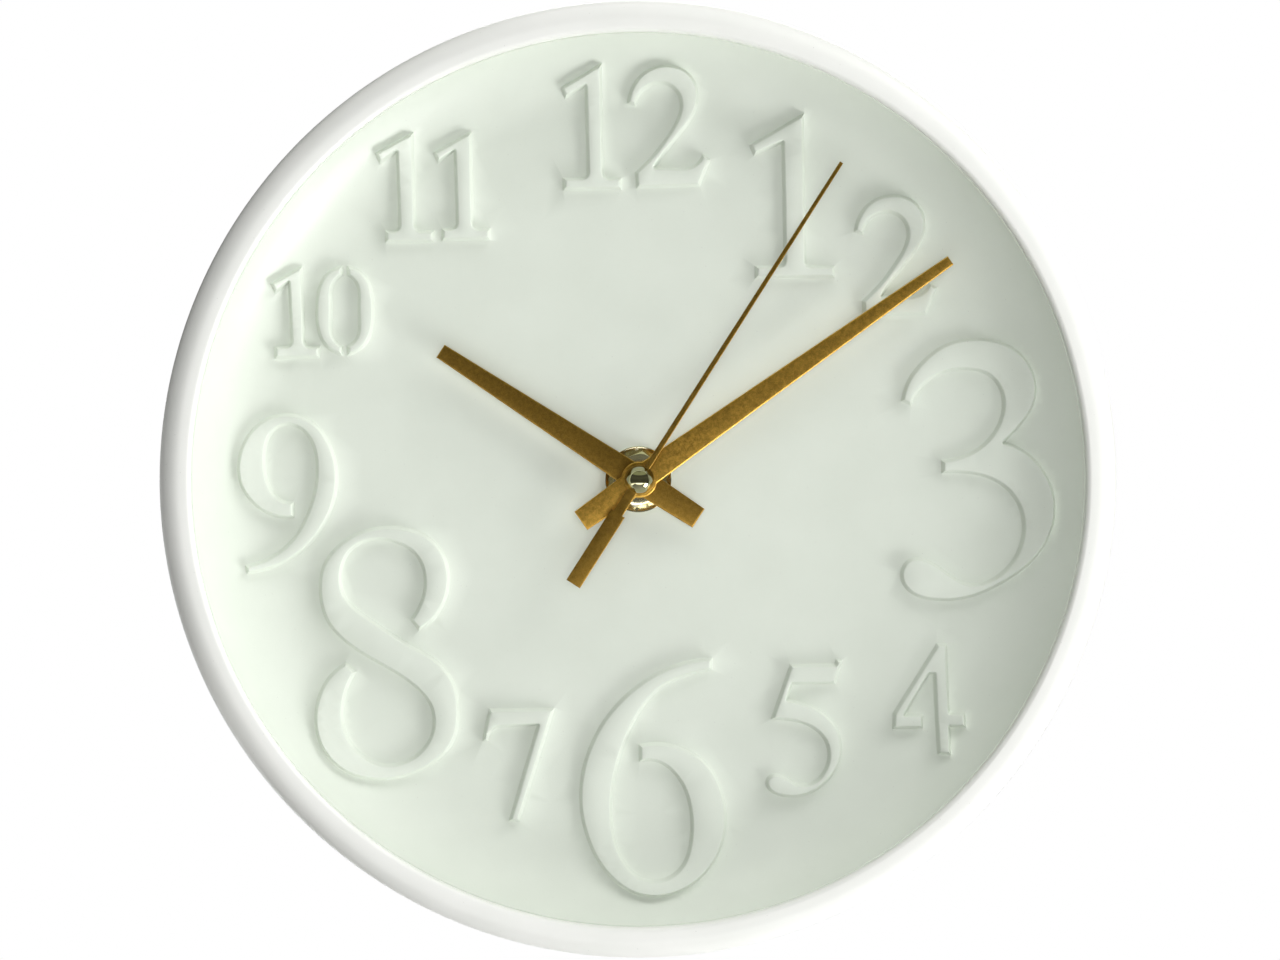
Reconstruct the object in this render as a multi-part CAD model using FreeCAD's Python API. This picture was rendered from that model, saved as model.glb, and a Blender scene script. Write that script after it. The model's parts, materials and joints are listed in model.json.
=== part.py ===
import FreeCAD, Part
import math
import os

from FreeCAD import Vector

# A round quartz wall clock, in millimetres.
# Frame: +Z up, the front faces -Y, the wall is the plane y = 0, and the hands turn about the Y axis.
# "front" is a face's smaller y and "back" its larger y.
# Clock angles run clockwise from 12, seen from the front.

# Case ring: outer radius, quarter-round nose, and the lip that holds the dial
CASE_RADIUS = 125.0
CASE_BACK_RADIUS = 124.0
CASE_FRONT = -37.0
CASE_NOSE_RADIUS = 5.5
LIP_RADIUS = 116.8
LIP_EDGE_RADIUS = 1.2
CASE_INNER_RADIUS = 121.3
LUG_COUNT = 6
LUG_WIDTH = 14.0
LUG_DEPTH = 2.0
LUG_REACH = 1.9
LUG_ROOT = 1.0

# Dial: a flat disc that turns up into a dish, with the hour numbers standing on it
DIAL_FRONT = -21.0
DIAL_THICKNESS = 2.0
DIAL_FLAT_RADIUS = 96.0
DISH_RADIUS = 24.0
DISH_EDGE_RADIUS = 116.5
FLANGE_RADIUS = 121.2
FLANGE_THICKNESS = 2.0
DIAL_HOLE_RADIUS = 4.2
RELIEF_HEIGHT = 2.4
RELIEF_ROOT = 0.5
RELIEF_INNER_RADIUS = 30.0
RELIEF_END_ANGLE = math.radians(50)
DISH_CENTRE_Y = DIAL_FRONT - DISH_RADIUS
FLANGE_FRONT = DISH_CENTRE_Y + math.sqrt(DISH_RADIUS**2 - (DISH_EDGE_RADIUS - DIAL_FLAT_RADIUS) ** 2)
DIAL_BACK = DIAL_FRONT + DIAL_THICKNESS

# Movement housing: a square box hung behind the dial
HOUSING_HALF = 28.0
HOUSING_CORNER = 3.0
HOUSING_FRONT = -17.5
HOUSING_BACK = -1.5
WALL = 1.2
SPLIT_Y = -4.5
SHELL_INNER = HOUSING_FRONT + WALL
COVER_INNER = HOUSING_BACK - WALL
CAVITY_HALF = HOUSING_HALF - WALL
PARTITION_TOP = -11.0
PARTITION_BOTTOM = -12.0
COVER_GAP = 0.1
COVER_LOW = PARTITION_TOP + COVER_GAP
POST_PLACES = ((-18.4, -9.3), (21.0, -9.3), (21.0, 21.0), (-6.6, 21.4))
POST_RADIUS = 1.4

# Threaded bush, washers and nut that clamp the dial to the housing
BUSH_RADIUS = 4.0
BUSH_BORE = 3.0
BUSH_FRONT = -25.2
RUBBER_RADIUS = 12.0
BRASS_WASHER_RADIUS = 8.7
BRASS_WASHER_THICKNESS = 0.5
BRASS_WASHER_BEND_RADIUS = 6.6
BRASS_WASHER_RISE = 0.7
NUT_FLATS = 13.0
NUT_THICKNESS = 2.2
NUT_TURN = math.radians(7.7)
NUT_CHAMFER = 0.5

# Hanger tab with its keyhole
HANGER_WIDTH = 20.0
HANGER_TOP = 42.0
HANGER_CORNER = 5.0
HANGER_FRONT = -3.5
HANGER_ROOT = 1.0
KEYHOLE_RADIUS = 4.5
KEYHOLE_Z = 33.0
KEYHOLE_SLOT = 4.0
KEYHOLE_SLOT_TOP = 38.5

# Shafts, each running in the one outside it
RUNNING_GAP = 0.05
HOUR_TUBE_RADIUS = BUSH_BORE - RUNNING_GAP
HOUR_TUBE_BORE = 2.0
CENTRE_TUBE_RADIUS = HOUR_TUBE_BORE - RUNNING_GAP
CENTRE_TUBE_BORE = 0.65
SECONDS_ARBOR_RADIUS = CENTRE_TUBE_BORE - RUNNING_GAP
CENTRE_FLAT = 1.3
HOUR_SEAT_RADIUS = 2.5
ARBOR_RADIUS = 0.7
PIVOT_RADIUS = 0.4
PIVOT_DEPTH = 0.8
PIVOT_PLAY = 0.3
BOSS_RADIUS = 1.4
BOSS_HEIGHT = 0.5
MINUTE_ARBOR_RADIUS = 1.0

# Levels of the wheels along Y (the middle of each wheel), from the back to the front
WHEEL_THICKNESS = 0.8
PINION_THICKNESS = 1.4
ROTOR_LEVEL = -4.4
SECONDS_LEVEL = -6.2
THIRD_LEVEL = -8.0
PLATE_BACK = -9.2
PLATE_FRONT = -10.2
CENTRE_LEVEL = -11.3
MINUTE_LEVEL = -13.1
HOUR_LEVEL = -14.9

# Middle plate, in two joined rectangles: left, right, bottom and top
PLATE_LOWER_BOX = (-20.2, 22.6, PARTITION_TOP + COVER_GAP, 9.0)
PLATE_UPPER_BOX = (-8.4, 22.6, 8.0, 23.2)

# Wheel train: teeth and modules
ROTOR_TEETH = 8
INTERMEDIATE_TEETH = 48
INTERMEDIATE_LEAVES = 8
SECONDS_TEETH = 40
SECONDS_LEAVES = 8
THIRD_TEETH = 60
THIRD_LEAVES = 8
CENTRE_TEETH = 64
CANNON_LEAVES = 12
MINUTE_TEETH = 36
MINUTE_LEAVES = 10
HOUR_TEETH = 40
ROTOR_MODULE = 0.3
SECONDS_MODULE = 0.4
CENTRE_MODULE = 0.32
THIRD_MODULE = CENTRE_MODULE * (THIRD_LEAVES + CENTRE_TEETH) / (SECONDS_LEAVES + THIRD_TEETH)
CANNON_MODULE = 0.5
HOUR_MODULE = CANNON_MODULE * (CANNON_LEAVES + MINUTE_TEETH) / (MINUTE_LEAVES + HOUR_TEETH)

# The first tooth's bearing on the gears that the others are set by
SECONDS_PHASE = 0.0
THIRD_PINION_PHASE = 0.0
MINUTE_PINION_PHASE = 0.0
CANNON_PHASE = 0.0
INTERMEDIATE_WHEEL_PHASE = 0.0

# Tooth shapes: the share of the pitch that is solid, then the heights above and below the pitch circle
WHEEL_TOOTH = (0.44, 0.9, 1.1)
PINION_TOOTH = (0.34, 0.6, 1.3)

# Where each arbor stands, as a bearing from +X towards +Z around the arbor it meshes with
THIRD_BEARING = math.radians(75)
MINUTE_BEARING = 0.0
INTERMEDIATE_BEARING = math.radians(160)
ROTOR_BEARING = math.radians(200)

# Setting knob in its recess in the back cover
KNOB_RADIUS = 6.0
KNOB_FRONT = -3.8
KNOB_BACK = -1.0
KNOB_RIBS = 24
KNOB_RIB_DEPTH = 0.35
RECESS_RADIUS = 7.0
RECESS_FLOOR = -4.2
RECESS_WALL = 1.0

# Stepping motor and electronics
MAGNET_RADIUS = 2.5
MAGNET_FRONT = -8.6
MAGNET_BACK = -6.4
STATOR_FRONT = -7.9
STATOR_BACK = -7.1
STATOR_HOLE = 3.0
STATOR_REST_RADIUS = 0.9
STATOR_REST_SHIFT = 2.4
STATOR_REST_RISE = 3.6
YOKE_SPAN = (-21.5, -12.8)
YOKE_HALF_HEIGHT = 4.6
LEFT_LEG_SPAN = (-26.0, -23.2)
LEFT_LINK_HALF_HEIGHT = 1.5
RIGHT_LEG_SPAN = (-13.0, -11.2)
RIGHT_LEG_START = 1.6
CORE_SPAN = (-25.8, -11.4)
CORE_THICKNESS = 0.8
CORE_HALF_HEIGHT = 1.2
COIL_Y = STATOR_BACK + CORE_THICKNESS / 2
COIL_Z = 20.0
COIL_LEFT = -22.6
COIL_RIGHT = -13.2
COIL_RADIUS = 3.1
BOBBIN_RADIUS = 3.4
BARREL_RADIUS = 1.9
FLANGE = 0.8
BOARD_FRONT = -6.0
BOARD_BACK = -5.2
BOARD_BOX = (-25.4, -10.8, 11.8, 16.2)
BOARD_REST_HALF = 1.0
BOARD_REST_INSET = 2.0
CRYSTAL_LEFT = -19.4
CRYSTAL_RADIUS = 1.0
CRYSTAL_LENGTH = 5.6
CHIP_X = -21.6
CHIP_RADIUS = 1.6
CHIP_HEIGHT = 0.9
CHIP_RIM = 0.1

# AA battery and its contacts
BATTERY_RADIUS = 7.0
BATTERY_LEFT = -24.3
BATTERY_RIGHT = 24.9
BATTERY_TIP = 26.0
BATTERY_TIP_RADIUS = 2.7
BATTERY_Y = -9.0
BATTERY_Z = -19.4
CONTACT_THICKNESS = 0.4
CONTACT_HALF_WIDTH = 3.5
CONTACT_FRONT = -15.0
CONTACT_BACK = -3.0
CONTACT_BULGE = -24.7
BULGE_HALF_WIDTH = 0.6
BULGE_FOOT = 3.0
BATTERY_EDGE_RADIUS = 0.5

# Hands: the middle plane of each, its angle and its outline
HOUR_HAND_Y = -26.1
MINUTE_HAND_Y = -28.2
SECOND_HAND_Y = -30.3
HOUR_ANGLE = 302.95
MINUTE_ANGLE = 54.87
SECOND_ANGLE = 32.5
HAND_THICKNESS = 0.5
SECOND_THICKNESS = 0.4
HOUR_LENGTH = 62.0
HOUR_HALF_WIDTH = 3.48
HOUR_TIP_HALF_WIDTH = 2.0
MINUTE_LENGTH = 100.0
MINUTE_HALF_WIDTH = 3.45
MINUTE_TIP_HALF_WIDTH = 1.35
SECOND_LENGTH = 98.5
SECOND_HALF_WIDTH = 0.75
SECOND_TIP_HALF_WIDTH = 0.5
TAIL_LENGTH = 18.7
TAIL_HALF_WIDTH = 2.95
HUB_RADIUS = 4.75
SECOND_HUB_RADIUS = 3.9
SECOND_TAIL_LENGTH = 32.3
SECOND_WEIGHT_START = 10.4
SECOND_WEIGHT_HALF = 2.1
SECOND_NECK_HALF = 1.35
SOCKET_RADIUS = 1.3
SOCKET_BACK = -29.0
CAP_RADIUS = 3.5
CAP_EDGE = 0.3
CAP_FRONT = -33.7
BUSH_RING_RADIUS = 3.7
BUSH_RING_HEIGHT = 0.5


def cylinder(radius, front, back, x=0.0, z=0.0):
    """A cylinder along Y."""
    return Part.makeCylinder(radius, back - front, Vector(x, front, z), Vector(0, 1, 0))


def tube(radius, bore, front, back, x=0.0, z=0.0):
    """A tube along Y."""
    return cylinder(radius, front, back, x, z).cut(cylinder(bore, front, back, x, z))


def block(x_low, x_high, front, back, z_low, z_high):
    """A box between two corners."""
    size = (x_high - x_low, back - front, z_high - z_low)
    return Part.makeBox(*size, Vector(x_low, front, z_low))


def slab(box, front, back):
    """A box from its (left, right, bottom, top) and its two faces along Y."""
    left, right, bottom, top = box
    return block(left, right, front, back, bottom, top)


def rounded_block(x_low, x_high, front, back, z_low, z_high, radius):
    """A box with its four edges along Y rounded."""
    solid = block(x_low, x_high, front, back, z_low, z_high)
    along_y = [e for e in solid.Edges if abs(e.tangentAt(e.FirstParameter).y) > 0.9]
    return solid.makeFillet(radius, along_y)


def fused(shapes):
    """One solid from solids that meet."""
    return shapes[0].multiFuse(shapes[1:]).removeSplitter()


def polar(radius, angle):
    """The (x, z) point at an angle from +X towards +Z."""
    return radius * math.cos(angle), radius * math.sin(angle)


def on_plane(x, z, y=0.0):
    return Vector(x, y, z)


def outline(runs, front, back):
    """A prism along Y. Each run is a list of (x, z) points: a smooth curve, or one corner if it is alone."""
    edges = []
    end = on_plane(*runs[-1][-1], front)
    for run in runs:
        points = [on_plane(x, z, front) for x, z in run]
        if end.distanceToPoint(points[0]) > 1e-6:
            edges.append(Part.LineSegment(end, points[0]).toShape())
        if len(points) > 1:
            curve = Part.BSplineCurve()
            curve.interpolate(points)
            edges.append(curve.toShape())
        end = points[-1]
    face = Part.Face(Part.Wire(edges))
    return face.extrude(Vector(0, back - front, 0))


def corners(*points):
    """Straight corners as runs."""
    return [[point] for point in points]


def turned(edges):
    """The solid that a closed profile of (radius, y) edges sweeps around the Y axis."""
    face = Part.Face(Part.Wire(edges))
    return face.revolve(Vector(0, 0, 0), Vector(0, 1, 0), 360)


def profile_point(radius, y):
    return Vector(radius, y, 0)


def profile_line(start, end):
    return Part.LineSegment(profile_point(*start), profile_point(*end)).toShape()


def profile_arc(start, middle, end):
    return Part.Arc(profile_point(*start), profile_point(*middle), profile_point(*end)).toShape()


def profile_path(points):
    """Straight edges through (radius, y) points."""
    return [profile_line(a, b) for a, b in zip(points, points[1:])]


# ---- Case and dial ----


def case_ring():
    nose_centre = (CASE_RADIUS - CASE_NOSE_RADIUS, CASE_FRONT + CASE_NOSE_RADIUS)
    nose_middle = CASE_NOSE_RADIUS * math.sqrt(0.5)
    lip_centre = (LIP_RADIUS + LIP_EDGE_RADIUS, CASE_FRONT + LIP_EDGE_RADIUS)
    lip_middle = LIP_EDGE_RADIUS * math.sqrt(0.5)
    nose_start = (CASE_RADIUS, nose_centre[1])
    nose_end = (nose_centre[0], CASE_FRONT)
    lip_start = (lip_centre[0], CASE_FRONT)
    lip_end = (LIP_RADIUS, lip_centre[1])
    edges = profile_path([(CASE_INNER_RADIUS, 0), (CASE_BACK_RADIUS, 0), nose_start])
    edges.append(
        profile_arc(nose_start, (nose_centre[0] + nose_middle, nose_centre[1] - nose_middle), nose_end)
    )
    edges.append(profile_line(nose_end, lip_start))
    edges.append(profile_arc(lip_start, (lip_centre[0] - lip_middle, lip_centre[1] - lip_middle), lip_end))
    edges += profile_path(
        [lip_end, (LIP_RADIUS, FLANGE_FRONT), (CASE_INNER_RADIUS, FLANGE_FRONT), (CASE_INNER_RADIUS, 0)]
    )
    return fused([turned(edges)] + snap_lugs())


def snap_lugs():
    """Lugs on the ring's inner wall that trap the dial's flange."""
    flange_back = FLANGE_FRONT + FLANGE_THICKNESS
    inner = CASE_INNER_RADIUS - LUG_REACH
    outer = CASE_INNER_RADIUS + LUG_ROOT
    lug = block(-LUG_WIDTH / 2, LUG_WIDTH / 2, flange_back, flange_back + LUG_DEPTH, inner, outer)
    lugs = []
    for number in range(LUG_COUNT):
        copy = lug.copy()
        copy.rotate(Vector(0, 0, 0), Vector(0, 1, 0), 360 * (number + 0.5) / LUG_COUNT)
        lugs.append(copy)
    return lugs


def dish_point(radius, angle):
    """A point of the dish's section, on an arc of a given radius about the dish's centre."""
    return DIAL_FLAT_RADIUS + radius * math.sin(angle), DISH_CENTRE_Y + radius * math.cos(angle)


def dish_arc(radius, end_angle):
    return profile_arc(
        dish_point(radius, 0), dish_point(radius, end_angle / 2), dish_point(radius, end_angle)
    )


def dial_plate():
    back_radius = DISH_RADIUS + DIAL_THICKNESS
    flange_back = FLANGE_FRONT + FLANGE_THICKNESS
    front_angle = math.acos((FLANGE_FRONT - DISH_CENTRE_Y) / DISH_RADIUS)
    back_angle = math.acos((flange_back - DISH_CENTRE_Y) / back_radius)
    edges = [dish_arc(back_radius, back_angle)]
    edges += profile_path(
        [
            dish_point(back_radius, back_angle),
            (FLANGE_RADIUS, flange_back),
            (FLANGE_RADIUS, FLANGE_FRONT),
            dish_point(DISH_RADIUS, front_angle),
        ]
    )
    edges.append(dish_arc(DISH_RADIUS, front_angle))
    edges += profile_path(
        [
            dish_point(DISH_RADIUS, 0),
            (DIAL_HOLE_RADIUS, DIAL_FRONT),
            (DIAL_HOLE_RADIUS, DIAL_BACK),
            dish_point(back_radius, 0),
        ]
    )
    return turned(edges)


def relief_layer():
    """The layer over the dial's front that the numbers fill, from just inside the plate."""
    low = DISH_RADIUS + RELIEF_ROOT
    high = DISH_RADIUS - RELIEF_HEIGHT
    edges = [dish_arc(low, RELIEF_END_ANGLE)]
    edges.append(profile_line(dish_point(low, RELIEF_END_ANGLE), dish_point(high, RELIEF_END_ANGLE)))
    edges.append(dish_arc(high, RELIEF_END_ANGLE))
    edges += profile_path(
        [
            dish_point(high, 0),
            (RELIEF_INNER_RADIUS, DIAL_FRONT - RELIEF_HEIGHT),
            (RELIEF_INNER_RADIUS, DIAL_FRONT + RELIEF_ROOT),
            dish_point(low, 0),
        ]
    )
    return turned(edges)


def dial():
    front = CASE_FRONT
    back = DIAL_FRONT + RELIEF_ROOT
    layer = relief_layer()
    numbers = [outline(runs, front, back).common(layer) for runs in numeral_outlines()]
    return fused([dial_plate()] + numbers)


# ---- Hour numbers: closed outlines in the dial's plane, with stencil breaks in 4, 6, 8, 9 and 0 ----


def numeral_outlines():
    return [
        numeral_one(30.9, 53.0, 20.8, 43.2, 7.6, 5.6),
        numeral_two(59.9, -33.7),
        numeral_three(),
        numeral_four(),
        numeral_five(),
        numeral_six(),
        numeral_seven(),
        numeral_eight(),
        numeral_nine(),
        numeral_one(-95.4, 31.8, 11.6, 24.1, 4.2, 3.5),
        half_zero(-1),
        half_zero(1),
        numeral_one(-66.4, 62.2, 12.6, 28.6, 3.5, 4.3),
        numeral_one(-51.6, 62.8, 12.6, 28.4, 3.8, 4.4),
        numeral_one(-19.7, 76.1, 15.2, 32.9, 6.3, 4.2),
        numeral_two(0.0, 0.0),
    ]


def numeral_one(left, foot, width, height, stem_left, stem_width):
    """A one with a foot serif. The stem leans a little to the left and ends in a slanted flag."""
    serif = 3.1
    serif_slope = 0.25
    fillet = 1.4
    fillet_middle = 0.3 * fillet
    lean = 0.6
    stem_right = stem_left + stem_width
    flag_left = stem_left - 0.21 * height
    flag_height = 0.81 * height
    flag_end = (flag_left + 1.1, flag_height - 2.6)
    flag_root = 0.825 * height
    shape = [
        [(0, 0)],
        [(width, serif_slope)],
        [(width, serif)],
        [(stem_right + fillet, serif), (stem_right + fillet_middle, serif + fillet_middle),
         (stem_right, serif + fillet)],
        [(stem_right - lean, height)],
        [(flag_left, flag_height)],
        [flag_end],
        [(stem_left - lean, flag_root)],
        [(stem_left, serif + fillet), (stem_left - fillet_middle, serif + fillet_middle),
         (stem_left - fillet, serif)],
        [(0, serif)],
    ]
    return [[(left + x, foot + z) for x, z in run] for run in shape]


def numeral_two(right, up):
    shape = [
        [(-2.8, 99.0), (-1.4, 103.6), (2.0, 107.2), (7.0, 108.6), (12.3, 107.2), (15.4, 103.0),
         (15.3, 97.9), (12.6, 92.9), (8.6, 87.9), (4.4, 82.1)],
        [(12.3, 81.8), (15.7, 83.4), (17.0, 85.4)],
        [(18.9, 84.2)],
        [(16.1, 77.3)],
        [(-0.4, 76.7)],
        [(-0.7, 80.7), (4.2, 85.7), (7.9, 90.7), (10.6, 95.7), (10.8, 100.4), (8.3, 103.4),
         (5.0, 104.0), (1.7, 102.6), (-0.7, 98.3)],
    ]
    return [[(x + right, z + up) for x, z in run] for run in shape]


def numeral_three():
    return [
        [(69.6, 20.6), (71.5, 26.5), (75.0, 31.0), (80.5, 35.2), (89.5, 37.1), (99.0, 34.5),
         (104.0, 28.0), (104.4, 20.5), (100.5, 13.8), (96.6, 9.7)],
        [(96.6, 9.7), (101.5, 7.7), (107.0, 2.0), (109.6, -6.0), (108.5, -14.0), (104.0, -21.5),
         (97.0, -27.0), (87.5, -31.2), (78.0, -31.9), (71.5, -29.5), (69.4, -25.0), (71.4, -21.4),
         (76.0, -21.3), (82.0, -25.0), (88.0, -27.7), (95.0, -25.5), (100.0, -19.5), (101.6, -13.0),
         (100.5, -7.0), (96.0, -1.5), (89.0, 1.3), (80.3, 1.6)],
        [(80.3, 4.9), (86.5, 6.4), (92.0, 10.0), (95.7, 16.0), (96.0, 22.5), (93.0, 27.1),
         (87.5, 28.9), (81.0, 28.2), (75.5, 25.0), (72.0, 19.6)],
    ]


def numeral_four():
    return corners(
        (79.0, -43.6), (81.5, -43.6), (82.2, -61.6), (86.2, -61.6), (86.2, -65.3), (82.2, -65.3),
        (82.2, -72.4), (79.0, -72.4), (78.1, -51.5), (76.9, -51.5), (70.5, -62.2), (75.2, -62.2),
        (75.1, -65.8), (67.3, -65.9), (67.5, -61.9),
    )


def numeral_five():
    return [
        [(35.2, -63.3)],
        [(40.2, -49.0)],
        [(52.0, -48.9)],
        [(52.4, -47.7)],
        [(53.8, -47.8)],
        [(52.0, -53.9)],
        [(40.6, -54.1)],
        [(39.4, -58.1), (45.0, -59.6), (50.0, -62.6), (53.0, -66.8), (53.7, -71.4), (52.3, -76.6),
         (48.8, -80.8), (43.8, -83.5), (38.5, -83.7), (34.7, -82.1), (33.8, -79.8), (35.2, -78.1),
         (38.7, -78.5), (42.0, -80.4), (45.5, -80.3), (48.7, -77.6), (50.2, -73.2), (49.4, -69.2),
         (46.4, -65.9), (41.7, -64.0), (35.2, -63.3)],
    ]


def numeral_six():
    return [
        [(19.4, -47.2), (10.6, -48.7), (1.0, -53.5), (-8.0, -62.1), (-13.7, -73.0), (-15.4, -84.5),
         (-13.5, -94.5), (-8.5, -103.5), (-1.3, -108.7), (5.3, -109.6), (13.4, -107.1), (20.1, -100.7),
         (23.1, -91.6), (22.0, -82.1), (17.2, -74.2), (10.1, -70.3), (0.3, -70.1)],
        [(0.3, -74.5), (5.8, -74.8), (10.6, -79.0), (13.6, -86.8), (13.7, -95.4), (11.3, -102.1),
         (5.8, -105.4), (-0.4, -104.2), (-5.3, -97.8), (-7.0, -88.8), (-6.4, -79.2), (-3.7, -69.7),
         (1.0, -60.4), (7.2, -54.2), (12.5, -51.8), (19.4, -50.2)],
    ]


def numeral_seven():
    return [
        [(-39.1, -60.6)],
        [(-22.2, -60.4)],
        [(-31.4, -90.0)],
        [(-34.0, -90.0)],
        [(-26.6, -64.8)],
        [(-36.8, -65.2), (-38.5, -66.2), (-39.7, -68.8)],
        [(-40.9, -68.8), (-40.4, -65.6), (-39.1, -60.6)],
    ]


def numeral_eight():
    return [
        [(-57.8, -39.6), (-52.5, -35.0), (-49.9, -28.0), (-50.8, -20.9), (-55.0, -15.3), (-62.5, -12.6),
         (-71.0, -13.1), (-78.5, -17.0), (-83.0, -23.0), (-83.8, -30.0), (-81.8, -37.3),
         (-77.0, -42.7), (-68.0, -48.5), (-58.5, -54.8), (-54.6, -60.0), (-54.5, -67.0),
         (-58.5, -72.5), (-65.5, -75.0), (-72.0, -72.8), (-76.7, -67.0), (-77.6, -59.5), (-74.3, -50.6)],
        [(-77.0, -48.3), (-82.5, -53.5), (-85.0, -62.0), (-83.5, -69.5), (-78.5, -75.5), (-71.0, -78.6),
         (-62.0, -78.3), (-54.5, -75.0), (-49.0, -69.5), (-47.3, -62.0), (-48.5, -54.0), (-53.0, -47.8),
         (-60.0, -43.5), (-72.0, -35.6), (-77.0, -31.0), (-78.1, -24.5), (-75.5, -18.6), (-70.0, -15.9),
         (-64.0, -16.5), (-58.5, -20.0), (-56.3, -26.0), (-57.3, -32.3), (-59.9, -36.8)],
    ]


def numeral_nine():
    return [
        [(-102.7, -24.6), (-95.2, -22.9), (-88.1, -18.6), (-82.7, -12.1), (-79.7, -4.6), (-79.3, 3.2),
         (-81.5, 10.0), (-85.9, 15.3), (-91.6, 17.2), (-98.0, 15.8), (-102.4, 11.8), (-104.9, 5.7),
         (-104.7, -0.4), (-102.0, -5.4), (-97.4, -8.9), (-90.6, -9.8)],
        [(-90.6, -5.8), (-94.7, -4.8), (-97.5, 0.0), (-98.1, 6.4), (-96.3, 12.1), (-92.0, 14.4),
         (-87.7, 12.4), (-84.9, 6.4), (-84.8, -0.7), (-87.0, -8.9), (-90.6, -15.3), (-95.9, -19.9),
         (-103.1, -22.6)],
    ]


def half_zero(side):
    """Half of the nought of 10. side is -1 for the left half and 1 for the right."""
    middle_x = -77.1
    middle_z = 44.3
    shape = [
        [(0.7, 11.7), (5.1, 9.4), (7.6, 0.4), (5.5, -8.7), (0.7, -11.7)],
        [(0.7, -9.2), (3.0, -7.0), (3.5, 0.0), (2.9, 7.2), (0.7, 9.4)],
    ]
    return [[(middle_x + side * x, middle_z + z) for x, z in run] for run in shape]


# ---- Clamping hardware ----


def hex_nut():
    """A hexagon nut with both faces chamfered, so that its corners clear the washer's rim."""
    front = DIAL_FRONT - BRASS_WASHER_THICKNESS - NUT_THICKNESS
    back = DIAL_FRONT - BRASS_WASHER_THICKNESS
    corner_radius = NUT_FLATS / math.sqrt(3)
    points = [polar(corner_radius, math.radians(60 * i + 90) - NUT_TURN) for i in range(6)]
    prism = outline(corners(*points), front, back)
    face_radius = corner_radius - 2 * NUT_CHAMFER
    cone = turned(
        profile_path(
            [(0, back), (face_radius, back), (corner_radius, back - NUT_CHAMFER),
             (corner_radius, front + NUT_CHAMFER), (face_radius, front), (0, front), (0, back)]
        )
    )
    return prism.common(cone).cut(cylinder(BUSH_RADIUS, front, back))


def brass_washer():
    """A washer that is flat under the nut and turned up at its rim."""
    back = DIAL_FRONT
    front = DIAL_FRONT - BRASS_WASHER_THICKNESS
    bend, rim, rise = BRASS_WASHER_BEND_RADIUS, BRASS_WASHER_RADIUS, BRASS_WASHER_RISE
    return turned(
        profile_path(
            [(BUSH_RADIUS, back), (BUSH_RADIUS, front), (bend, front), (rim, front - rise),
             (rim, back - rise), (bend, back), (BUSH_RADIUS, back)]
        )
    )


def rubber_washer():
    return tube(RUBBER_RADIUS, DIAL_HOLE_RADIUS, DIAL_BACK, HOUSING_FRONT)


# ---- Movement housing ----


def third_place():
    distance = CENTRE_MODULE * (THIRD_LEAVES + CENTRE_TEETH) / 2
    return polar(distance, THIRD_BEARING)


def minute_place():
    return polar(CANNON_MODULE * (CANNON_LEAVES + MINUTE_TEETH) / 2, MINUTE_BEARING)


def intermediate_place():
    return polar(SECONDS_MODULE * (INTERMEDIATE_LEAVES + SECONDS_TEETH) / 2, INTERMEDIATE_BEARING)


def rotor_place():
    x, z = intermediate_place()
    dx, dz = polar(ROTOR_MODULE * (ROTOR_TEETH + INTERMEDIATE_TEETH) / 2, ROTOR_BEARING)
    return x + dx, z + dz


def pivot_hole(face, depth, place):
    """A blind hole for an arbor's pivot, from a face in the direction of depth."""
    ends = sorted((face, face + depth))
    return cylinder(PIVOT_RADIUS + RUNNING_GAP, ends[0], ends[1], *place)


def front_shell():
    """The front half of the housing, with the battery bay below and the threaded bush in front."""
    body = rounded_block(
        -HOUSING_HALF, HOUSING_HALF, HOUSING_FRONT, SPLIT_Y, -HOUSING_HALF, HOUSING_HALF, HOUSING_CORNER
    )
    bay = rounded_block(
        -HOUSING_HALF, HOUSING_HALF, HOUSING_FRONT, HOUSING_BACK, -HOUSING_HALF, PARTITION_TOP, WALL
    )
    train_cavity = block(-CAVITY_HALF, CAVITY_HALF, SHELL_INNER, SPLIT_Y, PARTITION_TOP, CAVITY_HALF)
    bay_cavity = block(-CAVITY_HALF, CAVITY_HALF, SHELL_INNER, HOUSING_BACK, -CAVITY_HALF, PARTITION_BOTTOM)
    shell = body.fuse(bay).cut(train_cavity).cut(bay_cavity)
    bush = cylinder(BUSH_RADIUS, BUSH_FRONT, HOUSING_FRONT)
    posts = [cylinder(POST_RADIUS, SHELL_INNER, PLATE_FRONT, x, z) for x, z in POST_PLACES]
    shell = fused([shell, bush] + posts)
    shell = shell.cut(cylinder(BUSH_BORE, BUSH_FRONT, SHELL_INNER))
    for place in (third_place(), minute_place()):
        shell = shell.cut(pivot_hole(SHELL_INNER, -PIVOT_DEPTH, place))
    return shell


def hanger_tab():
    half = HANGER_WIDTH / 2
    low = HOUSING_HALF - HANGER_CORNER - HANGER_ROOT
    tab = rounded_block(-half, half, HANGER_FRONT, HOUSING_BACK, low, HANGER_TOP, HANGER_CORNER)
    foot = block(-half, half, HANGER_FRONT, HOUSING_BACK, CAVITY_HALF, HOUSING_HALF + HANGER_ROOT)
    above = block(-half, half, HANGER_FRONT, HOUSING_BACK, CAVITY_HALF, HANGER_TOP)
    return tab.common(above).fuse(foot)


def keyhole():
    hole = cylinder(KEYHOLE_RADIUS, HANGER_FRONT, HOUSING_BACK, 0, KEYHOLE_Z)
    half = KEYHOLE_SLOT / 2
    slot = block(-half, half, HANGER_FRONT, HOUSING_BACK, KEYHOLE_Z, KEYHOLE_SLOT_TOP)
    end = cylinder(half, HANGER_FRONT, HOUSING_BACK, 0, KEYHOLE_SLOT_TOP)
    return hole.fuse(slot).fuse(end)


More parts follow.
